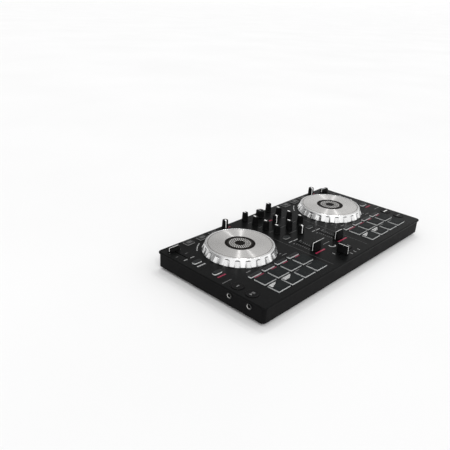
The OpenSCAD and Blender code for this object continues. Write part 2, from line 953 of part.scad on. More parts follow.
// The grip of a knob round its shaft, with a groove for the pointer
module knob_grip(r, rise, bore_gap, pointer) {
    difference() {
        translate([0, 0, top_z + lift_gap])
            cylinder(r1 = r, r2 = r - knob_taper, h = rise - lift_gap);
        translate([0, 0, top_z])
            cylinder(r = shaft_r + bore_gap, h = rise - knob_bore_top);
        rotate([0, 0, -pointer])
            translate([-pointer_w / 2, 0, top_z + rise - pointer_cut])
                cube([pointer_w, r + eps, pointer_cut + eps]);
    }
}

module knob(k) {
    shaft_foot = shaft_z + shaft_tip_gap;
    at(k[1]) {
        color([0.08, 0.08, 0.085])
            knob_grip(knob_r, knob_rise, push_gap, k[2]);
        color([0.6, 0.6, 0.62])
            translate([0, 0, shaft_foot])
                cylinder(r = shaft_r, h = top_z + knob_rise - knob_bore_top - push_gap - shaft_foot);
    }
}

module browse_shaft() {
    tip_z = shaft_z + browse_tip_gap;
    color([0.6, 0.6, 0.62])
        at(browse_at, tip_z)
            cylinder(r = shaft_r, h = top_z + browse_rise - knob_bore_top - push_gap - tip_z);
}

module browse_knob() {
    color([0.08, 0.08, 0.085])
        at(browse_at)
            translate([0, 0, browse_travel])
                knob_grip(browse_r, browse_rise - browse_travel, run_gap, 0);
}

// Pads and keys

module pad(s, i) {
    color([0.9, 0.9, 0.88])
        at(pad_at(s, i)) {
            key_top(pad_w, pad_d);
            key_stem();
        }
}

module transport_button(s, i) {
    color([0.07, 0.07, 0.075])
        at(transport_at(s, i)) {
            translate([0, 0, flange_z])
                cylinder(r = transport_r, h = top_z + transport_rise - flange_z);
            translate([0, 0, flange_z])
                cylinder(r = transport_r + flange_lip, h = flange_t);
            translate([0, transport_stem_shift, 0])
                key_stem(offset_stem_r);
        }
}

module mode_keys(s) {
    color([0.85, 0.85, 0.83])
        key_strip([for (i = [0:pad_columns - 1]) mode_at(s, i)], mode_w, mode_d);
}

module effect_keys(s) {
    color([0.3, 0.3, 0.31])
        key_strip([for (i = [0:effect_count - 1]) effect_at(s, i)], effect_w, effect_d);
}

module side_keys(s) {
    color([0.85, 0.85, 0.83])
        key_strip([for (i = [0:1]) side_at(s, i)], side_w, side_d, side_corner_r);
}

module phones_cue_keys() {
    color([0.85, 0.85, 0.83])
        key_strip([for (s = sides) cue_at(s)], cue_w, side_d, side_corner_r);
}

top_panel();
bottom_case();
rubber_feet();
case_screws();
control_boards();
potentiometers();
jog_bearings();
side_jacks();
rear_sockets();
browse_shaft();
browse_knob();
phones_cue_keys();
for (f = FADERS) fader(f);
for (k = KNOBS) knob(k);
for (s = sides) {
    jog_ring(s);
    jog_plate(s);
    mode_keys(s);
    effect_keys(s);
    side_keys(s);
    for (i = [0:pad_count - 1]) {
        pad(s, i);
    }
    for (i = [0:1]) {
        transport_button(s, i);
    }
}
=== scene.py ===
"""Looks of a two-deck DJ controller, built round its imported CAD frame.

Sizes are in millimetres along the frame's own axes, and Shape.piece turns them into metres.
"""
import logging
import math
from dataclasses import dataclass, field
from enum import Enum, IntEnum, StrEnum
from functools import cache
from itertools import cycle
from typing import Iterable, Sequence, Union

import bmesh
import bpy
from mathutils import Matrix, Vector


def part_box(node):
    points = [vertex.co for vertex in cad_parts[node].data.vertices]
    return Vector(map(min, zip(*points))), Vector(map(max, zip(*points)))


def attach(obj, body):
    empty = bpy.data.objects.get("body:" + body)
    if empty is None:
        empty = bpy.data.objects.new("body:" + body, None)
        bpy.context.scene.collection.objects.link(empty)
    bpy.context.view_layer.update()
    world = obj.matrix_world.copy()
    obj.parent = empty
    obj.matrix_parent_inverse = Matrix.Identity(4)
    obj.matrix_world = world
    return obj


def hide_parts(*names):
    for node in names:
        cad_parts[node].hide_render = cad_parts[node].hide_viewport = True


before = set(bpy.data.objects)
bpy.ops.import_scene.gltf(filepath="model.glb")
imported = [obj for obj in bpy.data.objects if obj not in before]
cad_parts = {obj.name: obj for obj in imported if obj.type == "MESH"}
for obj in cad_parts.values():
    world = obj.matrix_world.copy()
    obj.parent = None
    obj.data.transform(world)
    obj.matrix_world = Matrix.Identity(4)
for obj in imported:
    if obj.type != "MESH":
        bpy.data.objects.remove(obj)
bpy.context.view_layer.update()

LOG = logging.getLogger("controller")
MM = 0.001
CHASSIS = "chassis"
INK_RISE = 0.03

Color = tuple[float, float, float]
Flat = tuple[float, float]
Point = tuple[float, float, float]
Loop = list[Point]
Slots = Union[int, Sequence[int]]
Ports = bpy.types.bpy_prop_collection


class Deck(StrEnum):
    """The two decks."""

    LEFT = "left"
    RIGHT = "right"


class Level:
    """Heights above the surface that the object stands on."""

    STEM = 29.05
    FLANGE = 33.4
    PANEL = 38.7
    KEY = 41.4


class SocketKind(Enum):
    """Kinds of socket on a node group."""

    VALUE = "NodeSocketFloat"
    COLOR = "NodeSocketColor"


# Shader wiring


class Wires:
    """Adds nodes to one node tree and joins them.

    Attributes:
        MIX_FACTOR: place of a colour mix's factor among its inputs.
        MIX_A: place of its first colour.
        MIX_B: place of its second colour.
        MIX_RESULT: place of its result among its outputs.
    """

    MIX_FACTOR = 0
    MIX_A = 6
    MIX_B = 7
    MIX_RESULT = 2

    def __init__(self, tree: bpy.types.NodeTree) -> None:
        """Takes the node tree to work in."""
        self.tree = tree

    def feed(self, socket: bpy.types.NodeSocket, value: object) -> None:
        """Joins a socket to another one, or sets it to a constant.

        Args:
            socket: the input to feed.
            value: an output to join it to, or a constant.
        """
        if isinstance(value, bpy.types.NodeSocket):
            self.tree.links.new(value, socket)
        else:
            socket.default_value = value

    def add(self, kind: str, settings: dict[str, object] | None = None, **sockets: object) -> bpy.types.Node:
        """Adds one node.

        Args:
            kind: Blender's name of the node type.
            settings: properties to set on the node.
            **sockets: what feeds each input, with _ for a space in its name.

        Returns:
            The new node.
        """
        node = self.tree.nodes.new(kind)
        for key, value in (settings or {}).items():
            setattr(node, key, value)
        for key, value in sockets.items():
            self.feed(node.inputs[key.replace("_", " ")], value)
        return node

    def math(self, operation: str, a: object, b: object = 0.0) -> bpy.types.NodeSocket:
        """Does one sum.

        Args:
            operation: Blender's name of the sum.
            a: the first value.
            b: the second value.

        Returns:
            The result.
        """
        node = self.tree.nodes.new("ShaderNodeMath")
        node.operation = operation
        self.feed(node.inputs[0], a)
        self.feed(node.inputs[1], b)
        return node.outputs[0]

    def mix(self, factor: object, a: object, b: object, mode: str = "MIX") -> bpy.types.NodeSocket:
        """Mixes two colours.

        Args:
            factor: how much of the second colour there is.
            a: the first colour.
            b: the second colour.
            mode: Blender's name of the way they are mixed.

        Returns:
            The mixed colour.
        """
        node = self.tree.nodes.new("ShaderNodeMix")
        node.data_type = "RGBA"
        node.blend_type = mode
        self.feed(node.inputs[self.MIX_FACTOR], factor)
        self.feed(node.inputs[self.MIX_A], a)
        self.feed(node.inputs[self.MIX_B], b)
        return node.outputs[self.MIX_RESULT]

    def span(self, value: object, low: object, high: object, out_low: object = 0.0,
             out_high: object = 1.0) -> bpy.types.NodeSocket:
        """Moves a value from one range to another and keeps it inside.

        Args:
            value: the value.
            low: where its range starts.
            high: where its range ends.
            out_low: where the new range starts.
            out_high: where the new range ends.

        Returns:
            The value in its new range.
        """
        node = self.add("ShaderNodeMapRange", Value=value, From_Min=low, From_Max=high,
                        To_Min=out_low, To_Max=out_high)
        return node.outputs["Result"]

    def place(self) -> bpy.types.NodeSocket:
        """Returns the surface point in the piece's own axes, in metres."""
        return self.add("ShaderNodeTexCoord").outputs["Object"]

    def noise(self, cells: object, detail: float) -> bpy.types.NodeSocket:
        """Returns a smooth noise with that many cells per metre."""
        return self.add("ShaderNodeTexNoise", Vector=self.place(), Scale=cells, Detail=detail).outputs[0]

    def group(self, tree: bpy.types.NodeTree, **sockets: object) -> bpy.types.Node:
        """Places a node group.

        Args:
            tree: the group.
            **sockets: what feeds each input, with _ for a space in its name.

        Returns:
            The node that holds it.
        """
        node = self.tree.nodes.new("ShaderNodeGroup")
        node.node_tree = tree
        for key, value in sockets.items():
            self.feed(node.inputs[key.replace("_", " ")], value)
        return node


def rgba(color: Color) -> tuple[float, float, float, float]:
    """Returns a colour with full alpha."""
    return (*color, 1.0)


class Effect:
    """Shader node groups that several finishes share, each built once.

    Attributes:
        NOISE_SPAN: the range that holds nearly all of a smooth noise.
    """

    NOISE_SPAN = (0.3, 0.7)

    @staticmethod
    def start(name: str, inputs: dict[str, SocketKind],
              outputs: dict[str, SocketKind]) -> tuple[Wires, Ports, Ports]:
        """Opens a node group.

        Args:
            name: the group's name.
            inputs: its inputs and their kinds.
            outputs: its outputs and their kinds.

        Returns:
            The wires inside it, what comes in and what goes out.
        """
        tree = bpy.data.node_groups.new(name, "ShaderNodeTree")
        for key, kind in inputs.items():
            tree.interface.new_socket(name=key, in_out="INPUT", socket_type=kind.value)
        for key, kind in outputs.items():
            tree.interface.new_socket(name=key, in_out="OUTPUT", socket_type=kind.value)
        came = tree.nodes.new("NodeGroupInput").outputs
        goes = tree.nodes.new("NodeGroupOutput").inputs
        return Wires(tree), came, goes

    @staticmethod
    @cache
    def tone_drift() -> bpy.types.NodeTree:
        """Makes a colour a little uneven.

        Returns:
            The node group.
        """
        detail, shade_span = 5.0, (0.5, 1.5)
        wires, came, goes = Effect.start(
            "tone_drift",
            {"Base": SocketKind.COLOR, "Cells": SocketKind.VALUE, "Depth": SocketKind.VALUE},
            {"Color": SocketKind.COLOR})
        shade = wires.span(wires.noise(came["Cells"], detail), *Effect.NOISE_SPAN, *shade_span)
        wires.feed(goes["Color"], wires.mix(came["Depth"], came["Base"], shade, "MULTIPLY"))
        return wires.tree

    @staticmethod
    @cache
    def mould_grain() -> bpy.types.NodeTree:
        """Makes the fine relief of a moulded surface.

        Returns:
            The node group.
        """
        detail, pit_share = 3.0, 0.5
        wires, came, goes = Effect.start(
            "mould_grain", {"Cells": SocketKind.VALUE}, {"Height": SocketKind.VALUE})
        pits = wires.add("ShaderNodeTexVoronoi", Vector=wires.place(), Scale=came["Cells"])
        soft = wires.noise(came["Cells"], detail)
        deep = wires.math("MULTIPLY", pits.outputs["Distance"], pit_share)
        wires.feed(goes["Height"], wires.math("ADD", deep, soft))
        return wires.tree

    @staticmethod
    @cache
    def hand_gloss() -> bpy.types.NodeTree:
        """Makes the uneven gloss that handling leaves.

        Returns:
            The node group.
        """
        detail = 6.0
        wires, came, goes = Effect.start(
            "hand_gloss",
            {"Cells": SocketKind.VALUE, "Low": SocketKind.VALUE, "High": SocketKind.VALUE},
            {"Roughness": SocketKind.VALUE})
        patches = wires.noise(came["Cells"], detail)
        wires.feed(goes["Roughness"], wires.span(patches, *Effect.NOISE_SPAN, came["Low"], came["High"]))
        return wires.tree

    @staticmethod
    @cache
    def edge_wear() -> bpy.types.NodeTree:
        """Lightens rubbed edges.

        Returns:
            The node group.
        """
        edge_span = (0.51, 0.6)
        patch_cells, patch_detail, patch_span = 220.0, 4.0, (0.35, 0.6)
        wires, came, goes = Effect.start(
            "edge_wear",
            {"Base": SocketKind.COLOR, "Worn": SocketKind.COLOR, "Amount": SocketKind.VALUE},
            {"Color": SocketKind.COLOR})
        edge = wires.span(wires.add("ShaderNodeNewGeometry").outputs["Pointiness"], *edge_span)
        patchy = wires.span(wires.noise(patch_cells, patch_detail), *patch_span)
        rubbed = wires.math("MULTIPLY", wires.math("MULTIPLY", edge, patchy), came["Amount"])
        wires.feed(goes["Color"], wires.mix(rubbed, came["Base"], came["Worn"]))
        return wires.tree

    @staticmethod
    @cache
    def settled_dust() -> bpy.types.NodeTree:
        """Puts pale specks on faces that look up.

        Returns:
            The node group.
        """
        up_span = (0.6, 0.98)
        drift_cells, drift_detail, drift_span, drift_show = 28.0, 4.0, (0.35, 0.7), (0.25, 1.0)
        speck_cells, speck_detail, speck_span = 1900.0, 1.0, (0.6, 0.78)
        wires, came, goes = Effect.start(
            "settled_dust",
            {"Base": SocketKind.COLOR, "Dust": SocketKind.COLOR, "Amount": SocketKind.VALUE},
            {"Color": SocketKind.COLOR})
        normal = wires.add("ShaderNodeNewGeometry").outputs["Normal"]
        up = wires.span(wires.add("ShaderNodeSeparateXYZ", Vector=normal).outputs["Z"], *up_span)
        drift = wires.span(wires.noise(drift_cells, drift_detail), *drift_span, *drift_show)
        specks = wires.span(wires.noise(speck_cells, speck_detail), *speck_span)
        mask = wires.math("MULTIPLY", wires.math("MULTIPLY", up, drift), specks)
        shown = wires.math("MULTIPLY", mask, came["Amount"])
        wires.feed(goes["Color"], wires.mix(shown, came["Base"], came["Dust"]))
        return wires.tree

    @staticmethod
    @cache
    def turned_rings() -> bpy.types.NodeTree:
        """Makes the fine rings of metal turned round the piece's Z axis.

        Returns:
            The node group.
        """
        level, detail, shade_span = (1.0, 1.0, 0.0), 3.0, (0.86, 1.06)
        wires, came, goes = Effect.start(
            "turned_rings", {"Lines": SocketKind.VALUE},
            {"Height": SocketKind.VALUE, "Shade": SocketKind.VALUE})
        flat = wires.add("ShaderNodeVectorMath", {"operation": "MULTIPLY"})
        wires.feed(flat.inputs[0], wires.place())
        wires.feed(flat.inputs[1], level)
        length = wires.add("ShaderNodeVectorMath", {"operation": "LENGTH"})
        wires.feed(length.inputs[0], flat.outputs["Vector"])
        fine = wires.add("ShaderNodeTexNoise", {"noise_dimensions": "1D"}, W=length.outputs["Value"],
                         Scale=came["Lines"], Detail=detail).outputs[0]
        wires.feed(goes["Height"], fine)
        wires.feed(goes["Shade"], wires.span(fine, *Effect.NOISE_SPAN, *shade_span))
        return wires.tree


# Finishes


@dataclass(frozen=True)
class Finish:
    """A procedural finish: an uneven colour with wear and dust, uneven gloss and a fine relief.

    Attributes:
        name: the material's name.
        slot: the record's material slot, or nothing for printed marks; not used.
        color: the base colour.
        roughness: the middle of the gloss range.
        gloss_drift: how far the gloss goes either way.
        metallic: how metallic it is.
        tone: depth of the uneven colour.
        patch: cells per metre of the uneven colour and gloss.
        grain: cells per metre of the relief.
        relief: depth of the relief, in metres.
        wear: how much edges are rubbed.
        worn: the colour of rubbed edges.
        dust: how much dust shows.
        dust_color: the colour of dust.
        shine: strength of the mirror-like reflection, 0.5 being plain plastic.
        glow: depth that light reaches inside, in metres.
        glow_share: how much light goes that way.
    """

    name: str
    slot: str
    color: Color
    roughness: float
    gloss_drift: float = 0.05
    metallic: float = 0.0
    tone: float = 0.2
    patch: float = 60.0
    grain: float = 2200.0
    relief: float = 0.00001
    wear: float = 0.0
    worn: Color = (0.25, 0.25, 0.25)
    dust: float = 0.0
    dust_color: Color = (0.45, 0.44, 0.42)
    shine: float = 0.5
    glow: float = 0.0
    glow_share: float = 0.6

    def material(self) -> bpy.types.Material:
        """Builds the finish's material the first time.

        Returns:
            The material.
        """
        known = bpy.data.materials.get(self.name)
        if known:
            return known
        made = bpy.data.materials.new(self.name)
        made.use_nodes = True
        wires = Wires(made.node_tree)
        shader = made.node_tree.nodes["Principled BSDF"]
        shader.inputs["Metallic"].default_value = self.metallic
        shader.inputs["Specular IOR Level"].default_value = self.shine
        if self.glow:
            shader.inputs["Subsurface Weight"].default_value = self.glow_share
            shader.inputs["Subsurface Radius"].default_value = (self.glow, self.glow, self.glow)
            shader.inputs["Subsurface Scale"].default_value = 1.0
        wires.feed(shader.inputs["Base Color"], self.tint(wires))
        wires.feed(shader.inputs["Roughness"], self.gloss(wires))
        wires.feed(shader.inputs["Normal"], self.normal(wires))
        self.extra(wires, shader)
        return made

    def tint(self, wires: Wires) -> bpy.types.NodeSocket:
        """Makes the colour over the surface.

        Args:
            wires: the material's wires.

        Returns:
            The colour.
        """
        color = wires.group(Effect.tone_drift(), Base=rgba(self.color), Cells=self.patch,
                            Depth=self.tone).outputs["Color"]
        if self.wear:
            color = wires.group(Effect.edge_wear(), Base=color, Worn=rgba(self.worn),
                                Amount=self.wear).outputs["Color"]
        if self.dust:
            color = wires.group(Effect.settled_dust(), Base=color, Dust=rgba(self.dust_color),
                                Amount=self.dust).outputs["Color"]
        return color

    def gloss(self, wires: Wires) -> bpy.types.NodeSocket:
        """Returns the roughness over the surface."""
        return wires.group(Effect.hand_gloss(), Cells=self.patch, Low=self.roughness - self.gloss_drift,
                           High=self.roughness + self.gloss_drift).outputs["Roughness"]

    def normal(self, wires: Wires) -> bpy.types.NodeSocket:
        """Returns the normal with the relief on it."""
        height = wires.group(Effect.mould_grain(), Cells=self.grain).outputs["Height"]
        return wires.add("ShaderNodeBump", Distance=self.relief, Height=height).outputs["Normal"]

    def extra(self, wires: Wires, shader: bpy.types.Node) -> None:
        """Adds what a special finish needs beyond the rest."""


@dataclass(frozen=True)
class TurnedMetal(Finish):
    """Metal turned round its own Z axis, with rings that stretch its highlights.

    Attributes:
        lines: rings per metre of radius.
        stretch: how far highlights are stretched across the rings.
        quarter: share of a full turn between the rings and the stretched highlights.
    """

    lines: float = 1600.0
    stretch: float = 1.0
    quarter: float = 0.25

    def tint(self, wires: Wires) -> bpy.types.NodeSocket:
        """Returns the colour over the surface, ring by ring."""
        shade = wires.group(Effect.turned_rings(), Lines=self.lines).outputs["Shade"]
        return wires.mix(1.0, super().tint(wires), shade, "MULTIPLY")

    def normal(self, wires: Wires) -> bpy.types.NodeSocket:
        """Returns the normal with the rings on it."""
        height = wires.group(Effect.turned_rings(), Lines=self.lines).outputs["Height"]
        return wires.add("ShaderNodeBump", Distance=self.relief, Height=height).outputs["Normal"]

    def extra(self, wires: Wires, shader: bpy.types.Node) -> None:
        """Stretches the highlights across the rings.

        Args:
            wires: the material's wires.
            shader: its Principled BSDF.
        """
        shader.inputs["Anisotropic"].default_value = self.stretch
        shader.inputs["Anisotropic Rotation"].default_value = self.quarter
        tangent = wires.add("ShaderNodeTangent", {"direction_type": "RADIAL", "axis": "Z"})
        wires.feed(shader.inputs["Tangent"], tangent.outputs["Tangent"])


@dataclass(frozen=True)
class BoardFinish(Finish):
    """Circuit boards: solder mask with copper tracks below, dark switches above.

    Attributes:
        above: height over which the switches stand, in metres.
        change: height in which the colour changes there, in metres.
        switch: colour of the switches.
        track: colour of the tracks under the mask.
        track_scale: how close the tracks lie.
        track_bend: how far they wander.
        track_span: where on its wave a track starts and is full.
        track_show: how much of the tracks' colour comes through.
    """

    above: float = 0.0246
    change: float = 0.00005
    switch: Color = (0.03, 0.03, 0.03)
    track: Color = (0.05, 0.26, 0.11)
    track_scale: float = 180.0
    track_bend: float = 9.0
    track_span: Flat = (0.7, 0.8)
    track_show: float = 0.6

    def tint(self, wires: Wires) -> bpy.types.NodeSocket:
        """Makes the colour over the boards and switches.

        Args:
            wires: the material's wires.

        Returns:
            The colour.
        """
        wave = wires.add("ShaderNodeTexWave", Vector=wires.place(), Scale=self.track_scale,
                         Distortion=self.track_bend).outputs["Fac"]
        shown = wires.span(wave, *self.track_span, 0.0, self.track_show)
        tracks = wires.mix(shown, super().tint(wires), rgba(self.track))
        height = wires.add("ShaderNodeSeparateXYZ", Vector=wires.place()).outputs["Z"]
        upper = wires.span(height, self.above, self.above + self.change)
        return wires.mix(upper, tracks, rgba(self.switch))


PANEL = Finish("panel_semi_gloss", "panel_black", (0.005, 0.0052, 0.0053), 0.3, gloss_drift=0.04, tone=0.15,
               grain=2600.0, relief=0.000004, dust=0.04, shine=0.05)
# Black plastic, set darker in colour and shine than its own, as painted shade on the case's sides.
CASE = Finish("case_textured", "case_black", (0.004, 0.004, 0.0042), 0.55, grain=1700.0, relief=0.00004,
              dust=0.03, shine=0.06)
RUBBER = Finish("foot_matt_rubber", "foot_rubber", (0.014, 0.014, 0.014), 0.78, grain=900.0, relief=0.00005,
                wear=0.5, worn=(0.07, 0.07, 0.066), dust=0.1)
STEEL = Finish("screw_dark_steel", "screw_steel", (0.16, 0.16, 0.165), 0.36, metallic=1.0, grain=3000.0,
               relief=0.000006, wear=0.8, worn=(0.6, 0.6, 0.6))
BOARD = BoardFinish("board_solder_mask", "board_green", (0.012, 0.09, 0.035), 0.3, grain=900.0)
POT = Finish("pot_plain_metal", "pot_metal", (0.55, 0.55, 0.56), 0.38, metallic=1.0, relief=0.000006)
ACETAL = Finish("bearing_turned_acetal", "bearing_acetal", (0.72, 0.69, 0.6), 0.45)
NICKEL = Finish("socket_nickel", "socket_metal", (0.68, 0.67, 0.65), 0.24, gloss_drift=0.06, metallic=1.0,
                grain=1500.0, relief=0.000004, wear=0.5, worn=(0.85, 0.84, 0.82))
SILVER = Finish("jog_silver_paint", "jog_silver", (0.79, 0.79, 0.79), 0.2, gloss_drift=0.04, metallic=0.96,
                tone=0.05, patch=35.0, grain=4200.0, relief=0.000002, wear=0.5, worn=(0.9, 0.9, 0.9))
SPUN = TurnedMetal("jog_spun_metal", "jog_metal", (0.83, 0.815, 0.8), 0.22, gloss_drift=0.01, metallic=1.0,
                   tone=0.05, patch=30.0, relief=0.000003)
HUB_DARK = Finish("jog_hub_dark", "jog_metal", (0.006, 0.005, 0.0045), 0.45, relief=0.000006, shine=0.03)
HUB_GREY = Finish("jog_hub_grey", "jog_metal", (0.032, 0.029, 0.027), 0.4, relief=0.000006, shine=0.1)
HUB_TICK = Finish("jog_hub_tick", "jog_metal", (0.78, 0.77, 0.75), 0.35, relief=0.000004)
KNOB = Finish("knob_soft_touch", "knob_rubber", (0.004, 0.004, 0.0042), 0.5, grain=3200.0, relief=0.000012,
              wear=0.3, worn=(0.025, 0.025, 0.025), dust=0.03, shine=0.08)
FADER = Finish("fader_satin", "fader_black", (0.004, 0.004, 0.0042), 0.36, grain=3000.0, relief=0.000006,
               wear=0.3, worn=(0.03, 0.03, 0.03), dust=0.03, shine=0.04)
SHAFT = Finish("shaft_plain_steel", "screw_steel", (0.42, 0.42, 0.43), 0.32, metallic=1.0, relief=0.000004)
SILICONE = Finish("pad_pale_silicone", "pad_white", (0.6, 0.61, 0.61), 0.42, tone=0.06, grain=2000.0,
                  relief=0.000008, glow=0.0006)
PAD_TOP = Finish("pad_dark_top", "pad_white", (0.0055, 0.0075, 0.008), 0.5, tone=0.25, grain=1600.0,
                 relief=0.00003, wear=0.3, worn=(0.03, 0.03, 0.03), dust=0.06, shine=0.08)
KEY_SIDE = Finish("key_pale_side", "key_white", (0.68, 0.69, 0.69), 0.35, tone=0.06, relief=0.000005,
                  glow=0.0005)
KEY_TOP = Finish("key_dark_top", "key_white", (0.006, 0.0075, 0.008), 0.42, relief=0.000008, wear=0.3,
                 worn=(0.03, 0.03, 0.03), dust=0.03, shine=0.15)
SMOKE_SIDE = Finish("key_smoked_side", "key_smoke", (0.24, 0.24, 0.24), 0.3, tone=0.1, relief=0.000005)
SMOKE_TOP = Finish("key_smoked_top", "key_smoke", (0.011, 0.011, 0.0113), 0.34, relief=0.000005, dust=0.03,
                   shine=0.15)
BUTTON = Finish("button_satin", "button_black", (0.005, 0.005, 0.0052), 0.36, relief=0.000006, wear=0.3,
                worn=(0.03, 0.03, 0.03), dust=0.03, shine=0.05)
# White print; also the stripes of painted reflection on the front pads and the right cue's painted highlight.
INK_AND_GLINT_WHITE = Finish("ink_and_glint_white", "", (0.88, 0.88, 0.87), 0.42, patch=500.0, relief=0.000004)
INK_PALE = Finish("ink_pale", "", (0.42, 0.42, 0.42), 0.42, patch=500.0, relief=0.000004)
# Grey print; also the stripes of painted reflection on the last front pads.
INK_AND_GLINT_GREY = Finish("ink_and_glint_grey", "", (0.16, 0.16, 0.16), 0.42, tone=0.3, patch=500.0, relief=0.000004)
INK_FAINT = Finish("ink_faint", "", (0.045, 0.045, 0.046), 0.42, tone=0.3, patch=500.0, relief=0.000004)
INK_RED = Finish("ink_red", "", (0.3, 0.006, 0.045), 0.42, tone=0.3, patch=500.0, relief=0.000004)
DARK_HOLE = Finish("socket_dark_inside", "socket_metal", (0.006, 0.006, 0.006), 0.55)
SOCKET_BLACK = Finish("socket_black_ring", "socket_metal", (0.011, 0.011, 0.0112), 0.4, relief=0.000008,
                      shine=0.4)
INSULATOR_WHITE = Finish("insulator_white", "socket_metal", (0.66, 0.65, 0.62), 0.4, relief=0.000008)
INSULATOR_RED = Finish("insulator_red", "socket_metal", (0.45, 0.02, 0.02), 0.4, relief=0.000008)


# Mesh making


def ring(radius: float, z: float, steps: int) -> Loop:
    """Returns a level circle of that many points round the Z axis."""
    turn = 2 * math.pi / steps
    return [(radius * math.cos(i * turn), radius * math.sin(i * turn), z) for i in range(steps)]


def rounded(width: float, depth: float, radius: float, z: float, steps: int = 5) -> Loop:
    """Makes a level rectangle with round corners, centred on the Z axis.

    Args:
        width: its size along X.
        depth: its size along Y.
        radius: the corners' radius.
        z: its height.
        steps: stretches in each corner.

    Returns:
        Its points.
    """
    loop = []
    for x, y, start in ((1, 1, 0), (-1, 1, 90), (-1, -1, 180), (1, -1, 270)):
        for i in range(steps + 1):
            a = math.radians(start + 90 * i / steps)
            loop.append((x * (width / 2 - radius) + radius * math.cos(a),
                         y * (depth / 2 - radius) + radius * math.sin(a), z))
    return loop


def spot(place: Sequence[float], turn: float = 0.0) -> Matrix:
    """Returns a move to a place, after a turn in degrees about Z."""
    x, y, *z = place
    return Matrix.Translation((x, y, z[0] if z else 0.0)) @ Matrix.Rotation(math.radians(turn), 4, "Z")


def middle(node: str) -> Flat:
    """Returns the middle of a CAD node, seen from above."""
    low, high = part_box(node)
    return ((low.x + high.x) / 2 / MM, (low.y + high.y) / 2 / MM)


class Shape:
    """A mesh being built, in millimetres."""

    def __init__(self) -> None:
        """Starts with nothing."""
        self.mesh = bmesh.new()

    def loft(self, loops: Sequence[Loop], slots: Slots = 0, move: Matrix | None = None,
             closed: bool = False) -> None:
        """Joins loops of equal length into one closed shell.

        Args:
            loops: the loops, in order.
            slots: the material slot, or one for each band and one for the last cap.
            move: where the shell goes.
            closed: True joins the last loop to the first in place of two caps.
        """
        move = move or Matrix.Identity(4)
        rings = [[self.mesh.verts.new(move @ Vector(p)) for p in loop] for loop in loops]
        bands = list(zip(rings, rings[1:] + rings[:1] if closed else rings[1:]))
        count = len(rings[0])
        each = [slots] * (len(bands) + 1) if isinstance(slots, int) else list(slots)
        for (a, b), slot in zip(bands, each):
            for i in range(count):
                j = (i + 1) % count
                self.mesh.faces.new((a[i], a[j], b[j], b[i])).material_index = slot
        if not closed:
            self.mesh.faces.new(rings[0][::-1]).material_index = each[0]
            self.mesh.faces.new(rings[-1]).material_index = each[-1]

    def lathe(self, profile: Sequence[Flat], steps: int, slots: Slots = 0, move: Matrix | None = None,
              closed: bool = False) -> None:
        """Turns a profile of (radius, height) points round the Z axis, with the rest as in loft."""
        self.loft([ring(r, z, steps) for r, z in profile], slots, move, closed)

    def pin(self, radius: float, low: float, high: float, steps: int, slot: int, move: Matrix | None = None,
            edge: float = 0.3) -> None:
        """Raises a round pin between two heights, with a chamfer of that size at its lower end."""
        self.lathe([(radius - edge, low), (radius, low + edge), (radius, high)], steps, slot, move)

    def prism(self, outline: Sequence[Flat], low: float, high: float, slot: int = 0,
              move: Matrix | None = None) -> None:
        """Raises a flat outline from one height to another."""
        self.loft([[(x, y, z) for x, y in outline] for z in (low, high)], slot, move)

    def bar(self, x0: float, x1: float, y0: float, y1: float, low: float, high: float, slot: int = 0,
            move: Matrix | None = None) -> None:
        """Raises a rectangle from one height to another."""
        self.prism([(x0, y0), (x1, y0), (x1, y1), (x0, y1)], low, high, slot, move)

    def ribbon(self, path: Sequence[Flat], width: float, thick: float, slot: int, move: Matrix) -> None:
        """Lays a flat strip along a path.

        Args:
            path: points as (out along X, up), each with the outside on the left of the way to the next.
            width: the strip's width across the path.
            thick: how far it stands off the path.
            slot: its material slot.
            move: where it goes.
        """
        loops = []
        for i, (out, up) in enumerate(path):
            before, after = path[max(0, i - 1)], path[min(len(path) - 1, i + 1)]
            along = Vector((after[0] - before[0], after[1] - before[1])).normalized()
            off = Vector((-along.y, along.x)) * thick
            far, near = (out + off.x, up + off.y), (out - off.x, up - off.y)
            loops.append([(far[0], -width / 2, far[1]), (far[0], width / 2, far[1]),
                          (near[0], width / 2, near[1]), (near[0], -width / 2, near[1])])
        self.loft(loops, slot, move)

    def piece(self, name: str, finishes: Sequence[Finish], body: str, at: Point = (0.0, 0.0, 0.0),
              stands_for: Iterable[str] = (), crease: float = 35.0, square: float = 2.0) -> None:
        """Turns the shape into a piece of the object.

        Args:
            name: the piece's name.
            finishes: a finish for each material slot.
            body: the CAD body that it rides on.
            at: the place of its own origin.
            stands_for: CAD nodes that it stands for.
            crease: angle in degrees over which an edge stays sharp.
            square: faces with a normal this close to an axis are shaded flat, and none are over 1.
        """
        bmesh.ops.recalc_face_normals(self.mesh, faces=self.mesh.faces)
        bmesh.ops.scale(self.mesh, vec=(MM, MM, MM), verts=self.mesh.verts)
        data = bpy.data.meshes.new(name)
        self.mesh.to_mesh(data)
        self.mesh.free()
        for finish in finishes:
            data.materials.append(finish.material())
        data.set_sharp_from_angle(angle=math.radians(crease))
        smooth = [max(abs(part) for part in face.normal) < square for face in data.polygons]
        data.polygons.foreach_set("use_smooth", smooth)
        made = bpy.data.objects.new(name, data)
        made.location = [v * MM for v in at]
        bpy.context.scene.collection.objects.link(made)
        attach(made, body)
        if stands_for:
            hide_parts(*stands_for)
        LOG.info("%s on %s, %d faces", name, body, len(data.polygons))


# Sub-assemblies


